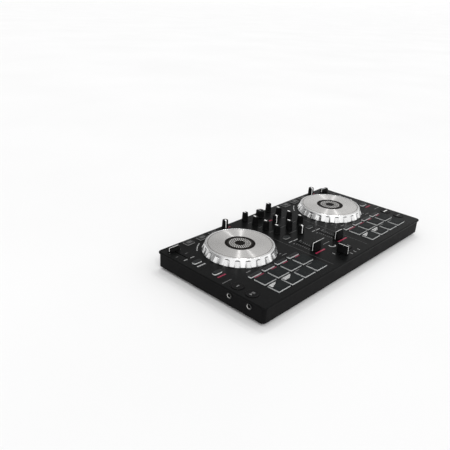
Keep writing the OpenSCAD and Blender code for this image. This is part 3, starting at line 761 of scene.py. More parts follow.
@dataclass
class Casing:
    """Top panel, lower case, feet and screws, with the inner parts that the casing hides.

    Attributes:
        sharp: angle in degrees over which an edge is rounded.
        level: angle in degrees within which CAD faces become one.
        square: faces with a normal this close to an axis are shaded flat.
        foot_profile: a foot's side and dished sole, as (inset from its radius, height).
    """

    panel_bevel: float = 0.3
    case_bevel: float = 0.5
    bevel_steps: int = 2
    bevel_profile: float = 0.5
    sharp: float = 40.0
    weld: float = 0.005
    level: float = 0.5
    crease: float = 30.0
    square: float = 0.9999
    foot_r: float = 9.0
    foot_steps: int = 48
    foot_profile: tuple[Flat, ...] = ((0.0, 4.0), (0.0, 3.5), (0.35, 1.2), (0.6, 0.5), (1.1, 0.1), (1.7, 0.0),
                                      (2.6, 0.0), (3.0, 0.35), (3.6, 0.5))
    foot_columns: tuple[float, ...] = (-232.0, 0.0, 232.0)
    foot_rows: tuple[float, ...] = (-91.0, 91.0)

    def refined(self, node: str, finish: Finish, bevel: float) -> None:
        """Makes a piece from a CAD node's own mesh, with its sharp edges rounded.

        Args:
            node: the CAD node.
            finish: what it is dressed in.
            bevel: width of the rounding.
        """
        shape = Shape()
        mesh = shape.mesh
        mesh.from_mesh(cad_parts[node].data)
        bmesh.ops.scale(mesh, vec=(1 / MM,) * 3, verts=mesh.verts)
        bmesh.ops.remove_doubles(mesh, verts=mesh.verts, dist=self.weld)
        bmesh.ops.dissolve_limit(mesh, angle_limit=math.radians(self.level), verts=mesh.verts,
                                 edges=mesh.edges)
        for face in mesh.faces:
            face.material_index = 0
        sharp = math.radians(self.sharp)
        edges = [e for e in mesh.edges if e.is_manifold and e.calc_face_angle() > sharp]
        bmesh.ops.bevel(mesh, geom=edges, offset=bevel, segments=self.bevel_steps, profile=self.bevel_profile,
                        affect="EDGES", clamp_overlap=True)
        shape.piece(f"{node}_shell", [finish], CHASSIS, stands_for=[node], crease=self.crease,
                    square=self.square)

    def feet(self) -> None:
        """Builds the rubber feet, each with a round edge and a dished sole."""
        shape = Shape()
        profile = [(self.foot_r - inset, z) for inset, z in self.foot_profile]
        for x in self.foot_columns:
            for y in self.foot_rows:
                shape.lathe(profile, self.foot_steps, move=spot((x, y)))
        shape.piece("rubber_feet_moulded", [RUBBER], CHASSIS, stands_for=["rubber_feet"])

    def dress(self, node: str, finish: Finish) -> None:
        """Gives a CAD node that stays its own finish.

        Args:
            node: the CAD node.
            finish: what it is dressed in.
        """
        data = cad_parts[node].data
        data.materials.clear()
        data.materials.append(finish.material())
        LOG.info("%s keeps its CAD shape", node)

    def build(self) -> None:
        """Builds and dresses the casing and what is inside it."""
        self.refined("top_panel", PANEL, self.panel_bevel)
        self.refined("bottom_case", CASE, self.case_bevel)
        self.feet()
        self.dress("case_screws", STEEL)
        self.dress("control_boards", BOARD)
        self.dress("potentiometers", POT)
        self.dress("jog_bearings", ACETAL)
        self.dress("browse_shaft", SHAFT)


class PlateSlot(IntEnum):
    """Material slots of a jog wheel's plate."""

    METAL = 0
    DARK = 1
    GREY = 2


class RingSlot(IntEnum):
    """Material slots of a jog wheel's ring."""

    SILVER = 0
    SHAFT = 1


@dataclass
class JogWheel:
    """One jog wheel: a silver ring with finger dents, a spun plate and a hub with fine ticks.

    Attributes:
        turn: its rest angle in degrees.
        land: upright part of the ring's side.
        lean: how much smaller the ring is at its top.
        roof: thickness under the plate's seat.
        shoulder: the rounding over the side, as (out, up) from where the side ends.
        lip: where the top turns down to the plate, as (out, up) from the plate's edge.
        plate_rings: shares of its radius at which the plate's face is divided.
        line: fine groove near the plate's edge, as insets from its radius.
        dent_taper: how fast a dent closes above its straight part.
        dent_lean: a dent's lean as a share of the side's lean.
        dent_edge: softness of a dent's edge.
        tick_rings: rings of ticks, as (inner radius, outer radius, count).
        tail: how far the spindle reaches below the panel.
        washer: the washer's section, as (radius, height).
    """

    side: Deck
    turn: float
    foot_r: float = 74.5
    foot_edge: float = 0.4
    wall: float = 5.0
    lift: float = 0.8
    land: float = 1.4
    lean: float = 7.5
    edge: float = 0.8
    rise: float = 16.0
    seat: float = 14.8
    roof: float = 3.0
    shoulder: tuple[Flat, ...] = ((0.45, 0.35), (-0.05, 0.62), (-0.7, 0.77))
    lip: tuple[Flat, ...] = ((1.0, 0.0), (0.5, -0.05), (0.15, -0.2), (0.0, -0.45))
    plate_r: float = 64.5
    plate_gap: float = 0.2
    plate_edge: float = 0.45
    plate_steps: int = 192
    plate_rings: tuple[float, ...] = (0.8, 0.65)
    core_r: float = 0.6
    line: tuple[float, ...] = (1.5, 1.6, 2.2, 2.3)
    line_cut: float = 0.2
    dents: int = 22
    dent_steps: int = 30
    slope_steps: int = 30
    dent_r: float = 9.0
    dent_depth: float = 3.4
    dent_len: float = 9.7
    dent_taper: float = 1.0
    dent_lean: float = 0.7
    dent_edge: float = 0.35
    groove_out: float = 30.0
    groove_in: float = 23.8
    groove_cut: float = 0.35
    groove_edge: float = 0.2
    groove_step: float = 0.15
    groove_wall: float = 0.1
    hub_drop: float = 0.02
    dot_r: float = 9.3
    dot_drop: float = 0.16
    tick_rings: tuple[tuple[float, float, int], ...] = ((10.8, 13.0, 18), (14.6, 17.0, 24), (18.6, 21.2, 30))
    tick_w: float = 1.6
    tick_sink: float = 0.1
    bore_r: float = 4.0
    hub_r: float = 12.0
    tail: float = 25.6
    tail_edge: float = 0.6
    spindle_gap: float = 0.05
    washer: tuple[Flat, ...] = ((4.05, -23.3), (4.05, -24.1), (4.6, -24.1), (8.0, -24.1), (8.0, -22.9),
                                (4.05, -22.9))
    spindle_steps: int = 48
    ring_crease: float = 40.0
    plate_crease: float = 24.0

    def dented(self, out: float, up: float, angle: float) -> Point:
        """Pushes in a point of the ring's side where a finger dent takes it.

        Args:
            out: distance from the axis.
            up: height above the panel.
            angle: place round the axis, in radians.

        Returns:
            The point after that.
        """
        foot = self.lift + self.land
        lean = self.dent_lean * math.atan2(self.lean - self.edge, self.rise - self.edge - foot)
        along = Vector((-math.sin(lean), 0.0, math.cos(lean)))
        outward = Vector((math.cos(lean), 0.0, math.sin(lean)))
        pitch = 2 * math.pi / self.dents
        start = math.radians(self.turn)
        nearest = (math.floor((angle - start) / pitch) + 0.5) * pitch + start
        here = Vector((out * math.cos(angle - nearest), out * math.sin(angle - nearest), up))
        reach = here - Vector((self.foot_r - self.dent_depth, 0.0, foot)) - outward * self.dent_r
        above = reach.dot(along)
        reach -= along * above
        radius = self.dent_r - self.dent_taper * max(0.0, above - self.dent_len)
        level = reach.dot(outward)
        inside = max(0.0, radius) ** 2 - reach.length_squared
        push = level + math.sqrt(max(0.0, level ** 2 + inside))
        here -= outward * (push + math.hypot(push, self.dent_edge)) / 2
        return tuple(Matrix.Rotation(nearest, 3, "Z") @ here)

    def ring(self, at: Point) -> None:
        """Builds the ring with its finger dents, and the spindle below it.

        Args:
            at: where the wheel's axis meets the panel.
        """
        foot, top, top_r = self.lift + self.land, self.rise - self.edge, self.foot_r - self.lean
        count = self.dents * self.dent_steps
        turn = 2 * math.pi / count
        rim, roof = self.plate_r + self.plate_gap, self.seat - self.roof
        roof_r = self.foot_r - self.wall - self.lean * (roof - foot) / (top - foot)
        below = [(self.bore_r, self.lift), (self.hub_r, self.lift), (self.hub_r, roof), (roof_r, roof),
                 (self.foot_r - self.wall, self.lift)]
        side = [(self.foot_r - self.foot_edge, self.lift), (self.foot_r, self.lift + self.foot_edge)]
        for i in range(self.slope_steps + 1):
            share = i / self.slope_steps
            side.append((self.foot_r - (self.lean - self.edge) * share, foot + (top - foot) * share))
        above = [(top_r + out, top + up) for out, up in self.shoulder]
        above += [(rim + out, self.rise + up) for out, up in self.lip]
        above += [(rim, self.seat), (self.bore_r, self.seat)]
        loops = [ring(r, z, count) for r, z in below]
        loops += [[self.dented(r, z, k * turn) for k in range(count)] for r, z in side]
        loops += [ring(r, z, count) for r, z in above]
        shape = Shape()
        shape.loft(loops, RingSlot.SILVER, closed=True)
        shape.pin(self.bore_r, -self.tail, self.seat - self.spindle_gap, self.spindle_steps, RingSlot.SHAFT,
                  edge=self.tail_edge)
        shape.lathe(self.washer, self.spindle_steps, RingSlot.SHAFT, closed=True)
        shape.piece(f"{self.side}_jog_ring_dented", [SILVER, SHAFT], f"{self.side}_jog", at,
                    [f"{self.side}_jog_ring"], crease=self.ring_crease)

    def plate(self, at: Point) -> None:
        """Builds the spun plate with a fine groove near its edge and a sunk, dark band round its hub.

        Args:
            at: where the wheel's axis meets the panel.
        """
        r, top, low = self.plate_r, self.rise, self.seat
        sunk, step, hub, dot = (top - drop for drop in (
            self.groove_cut, self.groove_step, self.hub_drop, self.dot_drop))
        line_in, line_low, line_high, line_out = (r - inset for inset in self.line)
        edge, wall = self.groove_edge, self.groove_wall
        metal = [(self.core_r, low), (r, low), (r, top - self.plate_edge), (r - self.plate_edge, top)]
        line = [(line_in, top), (line_low, top - self.line_cut), (line_high, top - self.line_cut)]
        face = [(line_out, top), *((r * share, top) for share in self.plate_rings),
                (self.groove_out + edge, top)]
        groove = [(self.groove_out, step), (self.groove_out - wall, sunk), (self.groove_in + wall, sunk)]
        grey = [(self.groove_in, step), (self.groove_in - edge, hub)]
        middle_dot = [(self.dot_r + wall, hub), (self.dot_r - wall, dot), (self.core_r, dot)]
        bands = ((metal, PlateSlot.METAL), (line, PlateSlot.DARK), (face, PlateSlot.METAL),
                 (groove, PlateSlot.DARK), (grey, PlateSlot.GREY), (middle_dot, PlateSlot.DARK))
        profile = [point for points, _ in bands for point in points]
        slots = [slot for points, slot in bands for _ in points]
        shape = Shape()
        shape.lathe(profile, self.plate_steps, slots)
        shape.piece(f"{self.side}_jog_plate_spun", [SPUN, HUB_DARK, HUB_GREY], f"{self.side}_jog", at,
                    [f"{self.side}_jog_plate"], crease=self.plate_crease)

    def ticks(self, at: Point) -> None:
        """Builds the rings of fine ticks on the hub.

        Args:
            at: where the wheel's axis meets the panel.
        """
        shape = Shape()
        half = self.tick_w / 2
        for low, high, count in self.tick_rings:
            for i in range(count):
                shape.bar(low, high, -half, half, self.rise - self.tick_sink, self.rise + INK_RISE,
                          move=spot((0, 0), i * 360 / count))
        shape.piece(f"{self.side}_jog_hub_ticks", [HUB_TICK], f"{self.side}_jog", at)

    def build(self) -> None:
        """Builds and dresses the wheel."""
        at = (*middle(f"{self.side}_jog_plate"), Level.PANEL)
        self.ring(at)
        self.plate(at)
        self.ticks(at)


class CapSlot(IntEnum):
    """Material slots of a pad or key."""

    SIDE = 0
    TOP = 1
    MARK = 2


@dataclass(frozen=True)
class KeyCap:
    """The moulding that pads and keys share: a pale block with a dark, slightly crowned top.

    Attributes:
        crown: how much higher its middle is than its edge.
        lip: width of the flange that keeps it under the panel.
        crown_steps: the crown's bands, as (share of the top's size, share of the crown).
        stem_sink: how far below the flange's top the stem ends.
        mark_sink: how far marks reach into the top.
    """

    width: float
    depth: float
    corner: float = 1.5
    rounding: float = 0.5
    crown: float = 0.12
    lip: float = 1.1
    flange: float = 1.5
    round_steps: int = 4
    crown_steps: tuple[Flat, ...] = ((0.9, 0.45), (0.7, 0.85), (0.4, 1.0))
    least_r: float = 0.3
    stem_r: float = 2.5
    stem_sink: float = 0.2
    stem_steps: int = 24
    mark_sink: float = 0.2

    def add(self, shape: Shape, place: Flat) -> None:
        """Adds one cap with its flange and stem.

        Args:
            shape: the mesh that it is added to.
            place: its middle.
        """
        w, d, c = self.width, self.depth, self.corner
        base, edge = Level.FLANGE + self.flange, Level.KEY - self.crown
        wide, deep = w + 2 * self.lip, d + 2 * self.lip
        sides = [rounded(wide, deep, c, Level.FLANGE), rounded(wide, deep, c, base), rounded(w, d, c, base)]
        top = []
        for i in range(self.round_steps + 1):
            a = math.pi / 2 * i / self.round_steps
            inset = self.rounding * (1 - math.cos(a))
            z = edge - self.rounding * (1 - math.sin(a))
            top.append(rounded(w - 2 * inset, d - 2 * inset, max(self.least_r, c - inset), z))
        w, d, c = w - 2 * self.rounding, d - 2 * self.rounding, c - self.rounding
        for share, lift in self.crown_steps:
            top.append(rounded(w * share, d * share, max(self.least_r, c * share), edge + self.crown * lift))
        slots = [CapSlot.SIDE] * len(sides) + [CapSlot.TOP] * len(top)
        shape.loft(sides + top, slots, spot(place))
        shape.pin(self.stem_r, Level.STEM, base - self.stem_sink, self.stem_steps, CapSlot.SIDE, spot(place))

    def mark(self, shape: Shape, place: Flat, x: Flat, y: Flat) -> None:
        """Lays a bar on a cap: print on keys, stripes of painted reflection on pads.

        Args:
            shape: the mesh that it is added to.
            place: the cap's middle.
            x: the bar's ends along X, from that middle.
            y: its ends along Y.
        """
        shape.bar(*x, *y, Level.KEY - self.mark_sink, Level.KEY + INK_RISE, CapSlot.MARK, spot(place))


@dataclass
class PadBank:
    """The eight pads of one deck, with stripes of painted reflection on the front row.

    Attributes:
        grey_glint_from: the first pad whose painted reflection is grey, after those where it is white.
        glint_x: where the stripes of painted reflection start, from a pad's middle.
        glint_ends: where those stripes end on each pad that has them.
    """

    side: Deck
    cap: KeyCap = KeyCap(32.0, 26.0, corner=1.5, rounding=0.45, crown=0.1)
    count: int = 8
    grey_glint_from: int = 7
    glint_x: float = -14.6
    glint_y: float = 11.6
    glint_step: float = 2.2
    glint_w: float = 1.0
    glint_ends: dict[int, tuple[float, ...]] = field(default_factory=lambda: {
        5: (4.0, 1.0, -4.0, -9.0), 6: (8.0, 6.0, 2.0, -2.0), 7: (-2.0,), 8: (-1.0,)})

    def build(self) -> None:
        """Builds and dresses the pads."""
        for number in range(1, self.count + 1):
            node = f"{self.side}_pad_{number}"
            shape = Shape()
            place = middle(node)
            self.cap.add(shape, place)
            # Stripes of painted reflection on the front pads: white on the first ones, grey on the last ones.
            for i, end in enumerate(self.glint_ends.get(number, ())):
                y = self.glint_y - self.glint_step * i
                self.cap.mark(shape, place, (self.glint_x, end), (y, y - self.glint_w))
            ink = INK_AND_GLINT_WHITE if number < self.grey_glint_from else INK_AND_GLINT_GREY
            shape.piece(f"{node}_rubber", [SILICONE, PAD_TOP, ink], node, stands_for=[node])


@dataclass
class KeyStrip:
    """Several keys on one runner.

    Attributes:
        node: the CAD node and body.
        along_x: True where the keys lie side by side.
        dashes: heights of the grey dashes printed across each key, from its middle.
    """

    node: str
    count: int
    cap: KeyCap
    side: Finish
    top: Finish
    along_x: bool = True
    dashes: tuple[float, ...] = ()
    dash_w: float = 12.0
    dash_d: float = 1.5
    runner: float = 4.0

    def places(self) -> list[Flat]:
        """Spreads the keys evenly over the CAD node.

        Returns:
            Their middles, from the lowest to the highest along the strip.
        """
        low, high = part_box(self.node)
        axis, size = (0, self.cap.width) if self.along_x else (1, self.cap.depth)
        first = low[axis] / MM + self.cap.lip + size / 2
        last = high[axis] / MM - self.cap.lip - size / 2
        x, y = middle(self.node)
        steps = [first + (last - first) * i / (self.count - 1) for i in range(self.count)]
        return [(v, y) if self.along_x else (x, v) for v in steps]

    def build(self) -> None:
        """Builds and dresses the strip."""
        shape = Shape()
        places = self.places()
        half_w, half_d, half = self.dash_w / 2, self.dash_d / 2, self.runner / 2
        for place in places:
            self.cap.add(shape, place)
            for y in self.dashes:
                self.cap.mark(shape, place, (-half_w, half_w), (y - half_d, y + half_d))
        (x0, y0), (x1, y1) = places[0], places[-1]
        dx, dy = (0.0, half) if self.along_x else (half, 0.0)
        shape.bar(x0 - dx, x1 + dx, y0 - dy, y1 + dy, Level.FLANGE, Level.FLANGE + self.cap.flange,
                  CapSlot.SIDE)
        shape.piece(f"{self.node}_moulding", [self.side, self.top, INK_AND_GLINT_GREY], self.node,
                    stands_for=[self.node])


@dataclass
class KeyRows:
    """The key strips of one deck: mode keys, effect keys and side keys."""

    side: Deck
    mode: KeyCap = KeyCap(29.0, 8.0)
    effect: KeyCap = KeyCap(20.0, 16.0, rounding=0.8)
    column: KeyCap = KeyCap(20.0, 10.0, corner=3.5, rounding=0.8)
    effect_dashes: Flat = (-3.4, 0.4)

    def build(self) -> None:
        """Builds and dresses the strips."""
        mode, effect, column = (f"{self.side}_{kind}_keys" for kind in ("mode", "effect", "side"))
        KeyStrip(mode, count=4, cap=self.mode, side=KEY_SIDE, top=KEY_TOP).build()
        KeyStrip(effect, count=3, cap=self.effect, side=SMOKE_SIDE, top=SMOKE_TOP,
                 dashes=self.effect_dashes).build()
        KeyStrip(column, count=2, cap=self.column, side=KEY_SIDE, top=KEY_TOP, along_x=False).build()


class Sign(Enum):
    """Signs on the round buttons."""

    PLAY = "a triangle and two upright bars"
    DASH = "a short dash"


class ButtonSlot(IntEnum):
    """Material slots of a round button."""

    BODY = 0
    INK = 1


@dataclass
class RoundButton:
    """A round play or cue button with a dished top.

    Attributes:
        node: the CAD node and body.
        ink_drops: where the ink starts and ends below the top.
        rim: its rounded rim, as (inset, drop).
        dish: its dished top, as (radius, drop).
        stem_up: where the stem ends above the flange's foot.
    """

    node: str
    sign: Sign
    ink: Finish = INK_AND_GLINT_GREY
    dash: float = 7.0
    dash_half: float = 1.1
    play_x: Flat = (-5.4, -0.4)
    pause_x: Flat = (1.4, 3.8)
    pause_w: float = 1.2
    sign_half: float = 3.0
    ink_drops: Flat = (0.6, 0.2)
    top: float = Level.PANEL + 1.2
    radius: float = 12.0
    rim: tuple[Flat, ...] = ((0.0, 0.7), (0.1, 0.3), (0.35, 0.06), (0.7, 0.0), (1.3, 0.0), (1.7, 0.08),
                             (2.0, 0.3))
    dish: tuple[Flat, ...] = ((7.2, 0.34), (3.6, 0.36), (0.4, 0.36))
    lip: float = 1.1
    flange: float = 1.5
    steps: int = 72
    stem_shift: float = 11.0
    stem_r: float = 2.0
    stem_up: float = 1.2
    stem_steps: int = 24

    def print_sign(self, shape: Shape, move: Matrix) -> None:
        """Prints the sign.

        Args:
            shape: the mesh that it is added to.
            move: where the button's middle is.
        """
        low, high = (self.top - drop for drop in self.ink_drops)
        half = self.sign_half
        if self.sign is Sign.PLAY:
            back, tip = self.play_x
            shape.prism([(back, -half), (back, half), (tip, 0.0)], low, high, ButtonSlot.INK, move)
            for x in self.pause_x:
                shape.bar(x, x + self.pause_w, -half, half, low, high, ButtonSlot.INK, move)
        else:
            shape.bar(-self.dash / 2, self.dash / 2, -self.dash_half, self.dash_half, low, high,
                      ButtonSlot.INK, move)

    def build(self) -> None:
        """Builds and dresses the button."""
        low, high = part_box(self.node)
        x = (low.x + high.x) / 2 / MM
        y = low.y / MM + self.radius + self.lip
        foot, base, wide = Level.FLANGE, Level.FLANGE + self.flange, self.radius + self.lip
        profile = [(wide, foot), (wide, base), (self.radius, base)]
        profile += [(self.radius - inset, self.top - drop) for inset, drop in self.rim]
        profile += [(r, self.top - drop) for r, drop in self.dish]
        move = spot((x, y))
        shape = Shape()
        shape.lathe(profile, self.steps, ButtonSlot.BODY, move)
        shape.pin(self.stem_r, Level.STEM, foot + self.stem_up, self.stem_steps, ButtonSlot.BODY,
                  spot((x, y + self.stem_shift)))
        self.print_sign(shape, move)
        shape.piece(f"{self.node}_dished", [BUTTON, self.ink], self.node, stands_for=[self.node])


class GripSlot(IntEnum):
    """Material slots of a knob or fader cap."""

    BODY = 0
    SHAFT = 1
    LINE = 2


@dataclass
class Knob:
    """A fluted knob with a white pointer over its top and down its side.

    Attributes:
        node: the CAD node and body.
        pointer: the pointer's angle from straight back, clockwise, in degrees.
        skirt: its skirt, as (inset, height above its foot).
        cap: edge of its top, as (inset from the radius there, drop).
        flute_foot: heights above the foot where flutes start and where they are full.
        flute_head: drops from the top where they stop being full, fade and end.
        line_foot: first heights of the pointer's side line, above the foot.
        line_head: last places of that line on the side, as drops from the top.
        line_bend: end of that line on the edge of the top, as (inset, drop).
        top_edge: start of the pointer's top line on the edge of the top, as (inset, drop).
        top_share: next place of that line, as a share of the top's radius.
        top_end: end of that line, beyond the middle.
        shaft_sink: how far the shaft goes into the knob.
    """

    node: str
    pointer: float = 0.0
    radius: float = 7.2
    rise: float = 20.0
    gap: float = 0.8
    taper: float = 0.9
    skirt: tuple[Flat, ...] = ((0.5, 0.0), (0.05, 0.3), (0.05, 1.7), (0.3, 2.0))
    cap: tuple[Flat, ...] = ((0.28, 1.0), (0.42, 0.6), (0.8, 0.42), (1.2, 0.4), (1.7, 0.43))
    dish_share: float = 0.4
    dish_drop: float = 0.45
    core_r: float = 0.3
    flutes: int = 18
    flute_depth: float = 0.42
    flute_steps: int = 8
    flute_inset: float = 0.25
    flute_foot: Flat = (2.3, 3.0)
    flute_head: Point = (2.6, 1.9, 1.2)
    flute_bands: int = 4
    flute_fade: float = 0.6
    line_w: float = 1.4
    line_thick: float = 0.07
    line_inset: float = 0.22
    line_foot: Flat = (2.4, 6.0)
    line_head: Flat = (6.0, 1.3)
    line_bend: tuple[Flat, ...] = ((0.3, 0.95), (0.5, 0.5))
    top_w: float = 3.0
    top_thick: float = 0.18
    top_edge: tuple[Flat, ...] = ((0.42, 0.6), (0.55, 0.3), (0.85, 0.2))
    top_share: float = 0.5
    top_end: float = -0.8
    top_drop: float = 0.2
    shaft_r: float = 3.0
    shaft_low: float = -11.7
    shaft_sink: float = 1.0
    shaft_steps: int = 32

    def edge(self, up: float) -> float:
        """Returns the knob's radius at a height above the panel."""
        return self.radius - self.taper * (up - self.gap) / (self.rise - self.gap)

    def fluted(self, up: float, depth: float) -> Loop:
        """Makes a level loop with the flutes cut into it.

        Args:
            up: its height above the panel.
            depth: how deep the flutes are.

        Returns:
            Its points.
        """
        count = self.flutes * self.flute_steps
        loop = []
        for i in range(count):
            a = 2 * math.pi * i / count
            cut = depth * (0.5 - 0.5 * math.cos(a * self.flutes)) ** 2
            r = self.edge(up) - self.flute_inset - cut
            loop.append((r * math.cos(a), r * math.sin(a), up))
        return loop

    def body(self) -> list[Loop]:
        """Shapes the knob from its skirt over the flutes to the dish in its top.

        Returns:
            Its loops, in order.
        """
        count, top, low, crest = self.flutes * self.flute_steps, self.rise, self.gap, self.edge(self.rise)
        start, full = (low + up for up in self.flute_foot)
        last, fade, end = (top - drop for drop in self.flute_head)
        cuts = [(start, 0.0), (full, 1.0)]
        cuts += [(full + (last - full) * i / self.flute_bands, 1.0) for i in range(1, self.flute_bands + 1)]
        cuts += [(fade, self.flute_fade), (end, 0.0)]
        cap = [(crest - inset, top - drop) for inset, drop in self.cap]
        cap += [(crest * self.dish_share, top - self.dish_drop), (self.core_r, top - self.dish_drop)]
        loops = [ring(self.radius - inset, low + up, count) for inset, up in self.skirt]
        loops += [self.fluted(up, self.flute_depth * share) for up, share in cuts]
        return loops + [ring(r, z, count) for r, z in cap]

    def line(self, shape: Shape) -> None:
        """Lays the pointer's line up the side and over the top.

        Args:
            shape: the mesh that it is added to.
        """
        top, low, crest = self.rise, self.gap, self.edge(self.rise)
        heights = [low + up for up in self.line_foot] + [top - drop for drop in self.line_head]
        side = [(self.edge(up) - self.line_inset, up) for up in heights]
        side += [(crest - inset, top - drop) for inset, drop in self.line_bend]
        over = [(crest - inset, top - drop) for inset, drop in self.top_edge]
        over += [(crest * self.top_share, top - self.top_drop), (self.top_end, top - self.top_drop)]
        move = spot((0, 0), 90 - self.pointer)
        shape.ribbon(side, self.line_w, self.line_thick, GripSlot.LINE, move)
        shape.ribbon(over, self.top_w, self.top_thick, GripSlot.LINE, move)

    def build(self) -> None:
        """Builds and dresses the knob."""
        shape = Shape()
        shape.loft(self.body(), GripSlot.BODY)
        shape.pin(self.shaft_r, self.shaft_low, self.gap + self.shaft_sink, self.shaft_steps, GripSlot.SHAFT)
        self.line(shape)
        shape.piece(f"{self.node}_fluted", [KNOB, SHAFT, INK_AND_GLINT_WHITE], self.node,
                    (*middle(self.node), Level.PANEL), [self.node])


@dataclass
class FaderCap:
    """A fader's cap with ribbed flanks and a white line over its top, and the lever below it.

    Attributes:
        node: the CAD node and body.
        across: True where the fader runs from left to right.
        foot_edge: edge of its foot, as (inset, height above the foot).
        bend_edge: where its flank starts, as (inset, drop from the shoulder).
        crest_edge: edge of its top, as (inset, drop).
        dish_drops: drops of the dish in its top, where it starts and in the middle.
        end_edge: edges of its two ends, as (distance from the end, inset).
        line_edge: where the line bends over an end, as (distance from the end, drop).
        lever_sink: how far the lever goes into the cap.
    """

    node: str
    rise: float
    across: bool = False
    width: float = 22.5
    depth: float = 11.0
    top_share: float = 0.58
    shoulder: float = 4.0
    gap: float = 0.8
    foot_edge: tuple[Flat, ...] = ((0.5, 0.0), (0.1, 0.15), (0.0, 0.6))
    bend_edge: tuple[Flat, ...] = ((0.0, 0.4), (0.05, 0.0))
    crest_edge: tuple[Flat, ...] = ((0.05, 0.55), (0.3, 0.18), (0.75, 0.04))
    flank_drop: float = 0.7
    dish_share: float = 0.4
    dish_drops: Flat = (0.16, 0.2)
    end_edge: tuple[Flat, ...] = ((0.0, 0.45), (0.12, 0.18), (0.4, 0.0))
    ribs: int = 5
    rib_depth: float = 0.28
    flank_steps: int = 40
    line_w: float = 1.1
    line_thick: float = 0.1
    line_drop: float = 0.18
    line_edge: tuple[Flat, ...] = ((0.0, 0.6), (0.15, 0.2), (0.5, 0.0))
    line_foot: float = 1.0
    lever: Flat = (1.6, 4.0)
    lever_low: float = -10.4
    lever_sink: float = 1.0

    def section(self) -> list[Flat]:
        """Shapes the cap's outline across its width.

        Returns:
            Points (y, z) from one foot over the top to the other foot.
        """
        foot, top = self.gap, self.rise
        half, crest = self.depth / 2, self.depth * self.top_share / 2
        bend = foot + self.shoulder
        points = [(half - inset, foot + up) for inset, up in self.foot_edge]
        points += [(half - inset, bend - drop) for inset, drop in self.bend_edge]
        for i in range(1, self.flank_steps):
            share = i / self.flank_steps
            rib = self.rib_depth * (0.5 - 0.5 * math.cos(2 * math.pi * self.ribs * share))
            y, z = half + (crest - half) * share, bend + (top - self.flank_drop - bend) * share
            points.append((y - rib, z))
        points += [(crest - inset, top - drop) for inset, drop in self.crest_edge]
        points += [(y, top - drop) for y, drop in zip((crest * self.dish_share, 0.0), self.dish_drops)]
        return points + [(-y, z) for y, z in points[-2::-1]]

    def body(self) -> list[Loop]:
        """Draws the outline along the cap, a little smaller at its ends.

        Returns:
            Its loops, in order.
        """
        outline = self.section()
        half, waist, tall = self.width / 2, (self.gap + self.rise) / 2, (self.rise - self.gap) / 2
        ends = [(along - half, inset) for along, inset in self.end_edge]
        ends += [(-x, inset) for x, inset in reversed(ends)]
        return [[(x, y * (1 - inset / self.depth * 2), waist + (z - waist) * (1 - inset / tall))
                 for y, z in outline] for x, inset in ends]

    def build(self) -> None:
        """Builds and dresses the cap."""
        move = spot((0, 0), 90 if self.across else 0)
        shape = Shape()
        shape.loft(self.body(), GripSlot.BODY, move)
        lx, ly = self.lever
        shape.bar(-lx / 2, lx / 2, -ly / 2, ly / 2, self.lever_low, self.gap + self.lever_sink,
                  GripSlot.SHAFT, move)
        half, top = self.width / 2, self.rise - self.line_drop
        path = [(-half, self.gap + self.line_foot)]
        path += [(along - half, top - drop) for along, drop in self.line_edge]
        path += [(0.0, top)] + [(-x, z) for x, z in reversed(path)]
        shape.ribbon(path, self.line_w, self.line_thick, GripSlot.LINE, move)
        shape.piece(f"{self.node}_cap", [FADER, SHAFT, INK_AND_GLINT_WHITE], self.node,
                    (*middle(self.node), Level.PANEL), [self.node])


class JackSlot(IntEnum):
    """Material slots of the side sockets."""

    METAL = 0
    HOLE = 1
    RING = 2


class RearSlot(IntEnum):
    """Material slots of the sockets at the back."""

    METAL = 0
    HOLE = 1
    WHITE = 2
    RED = 3


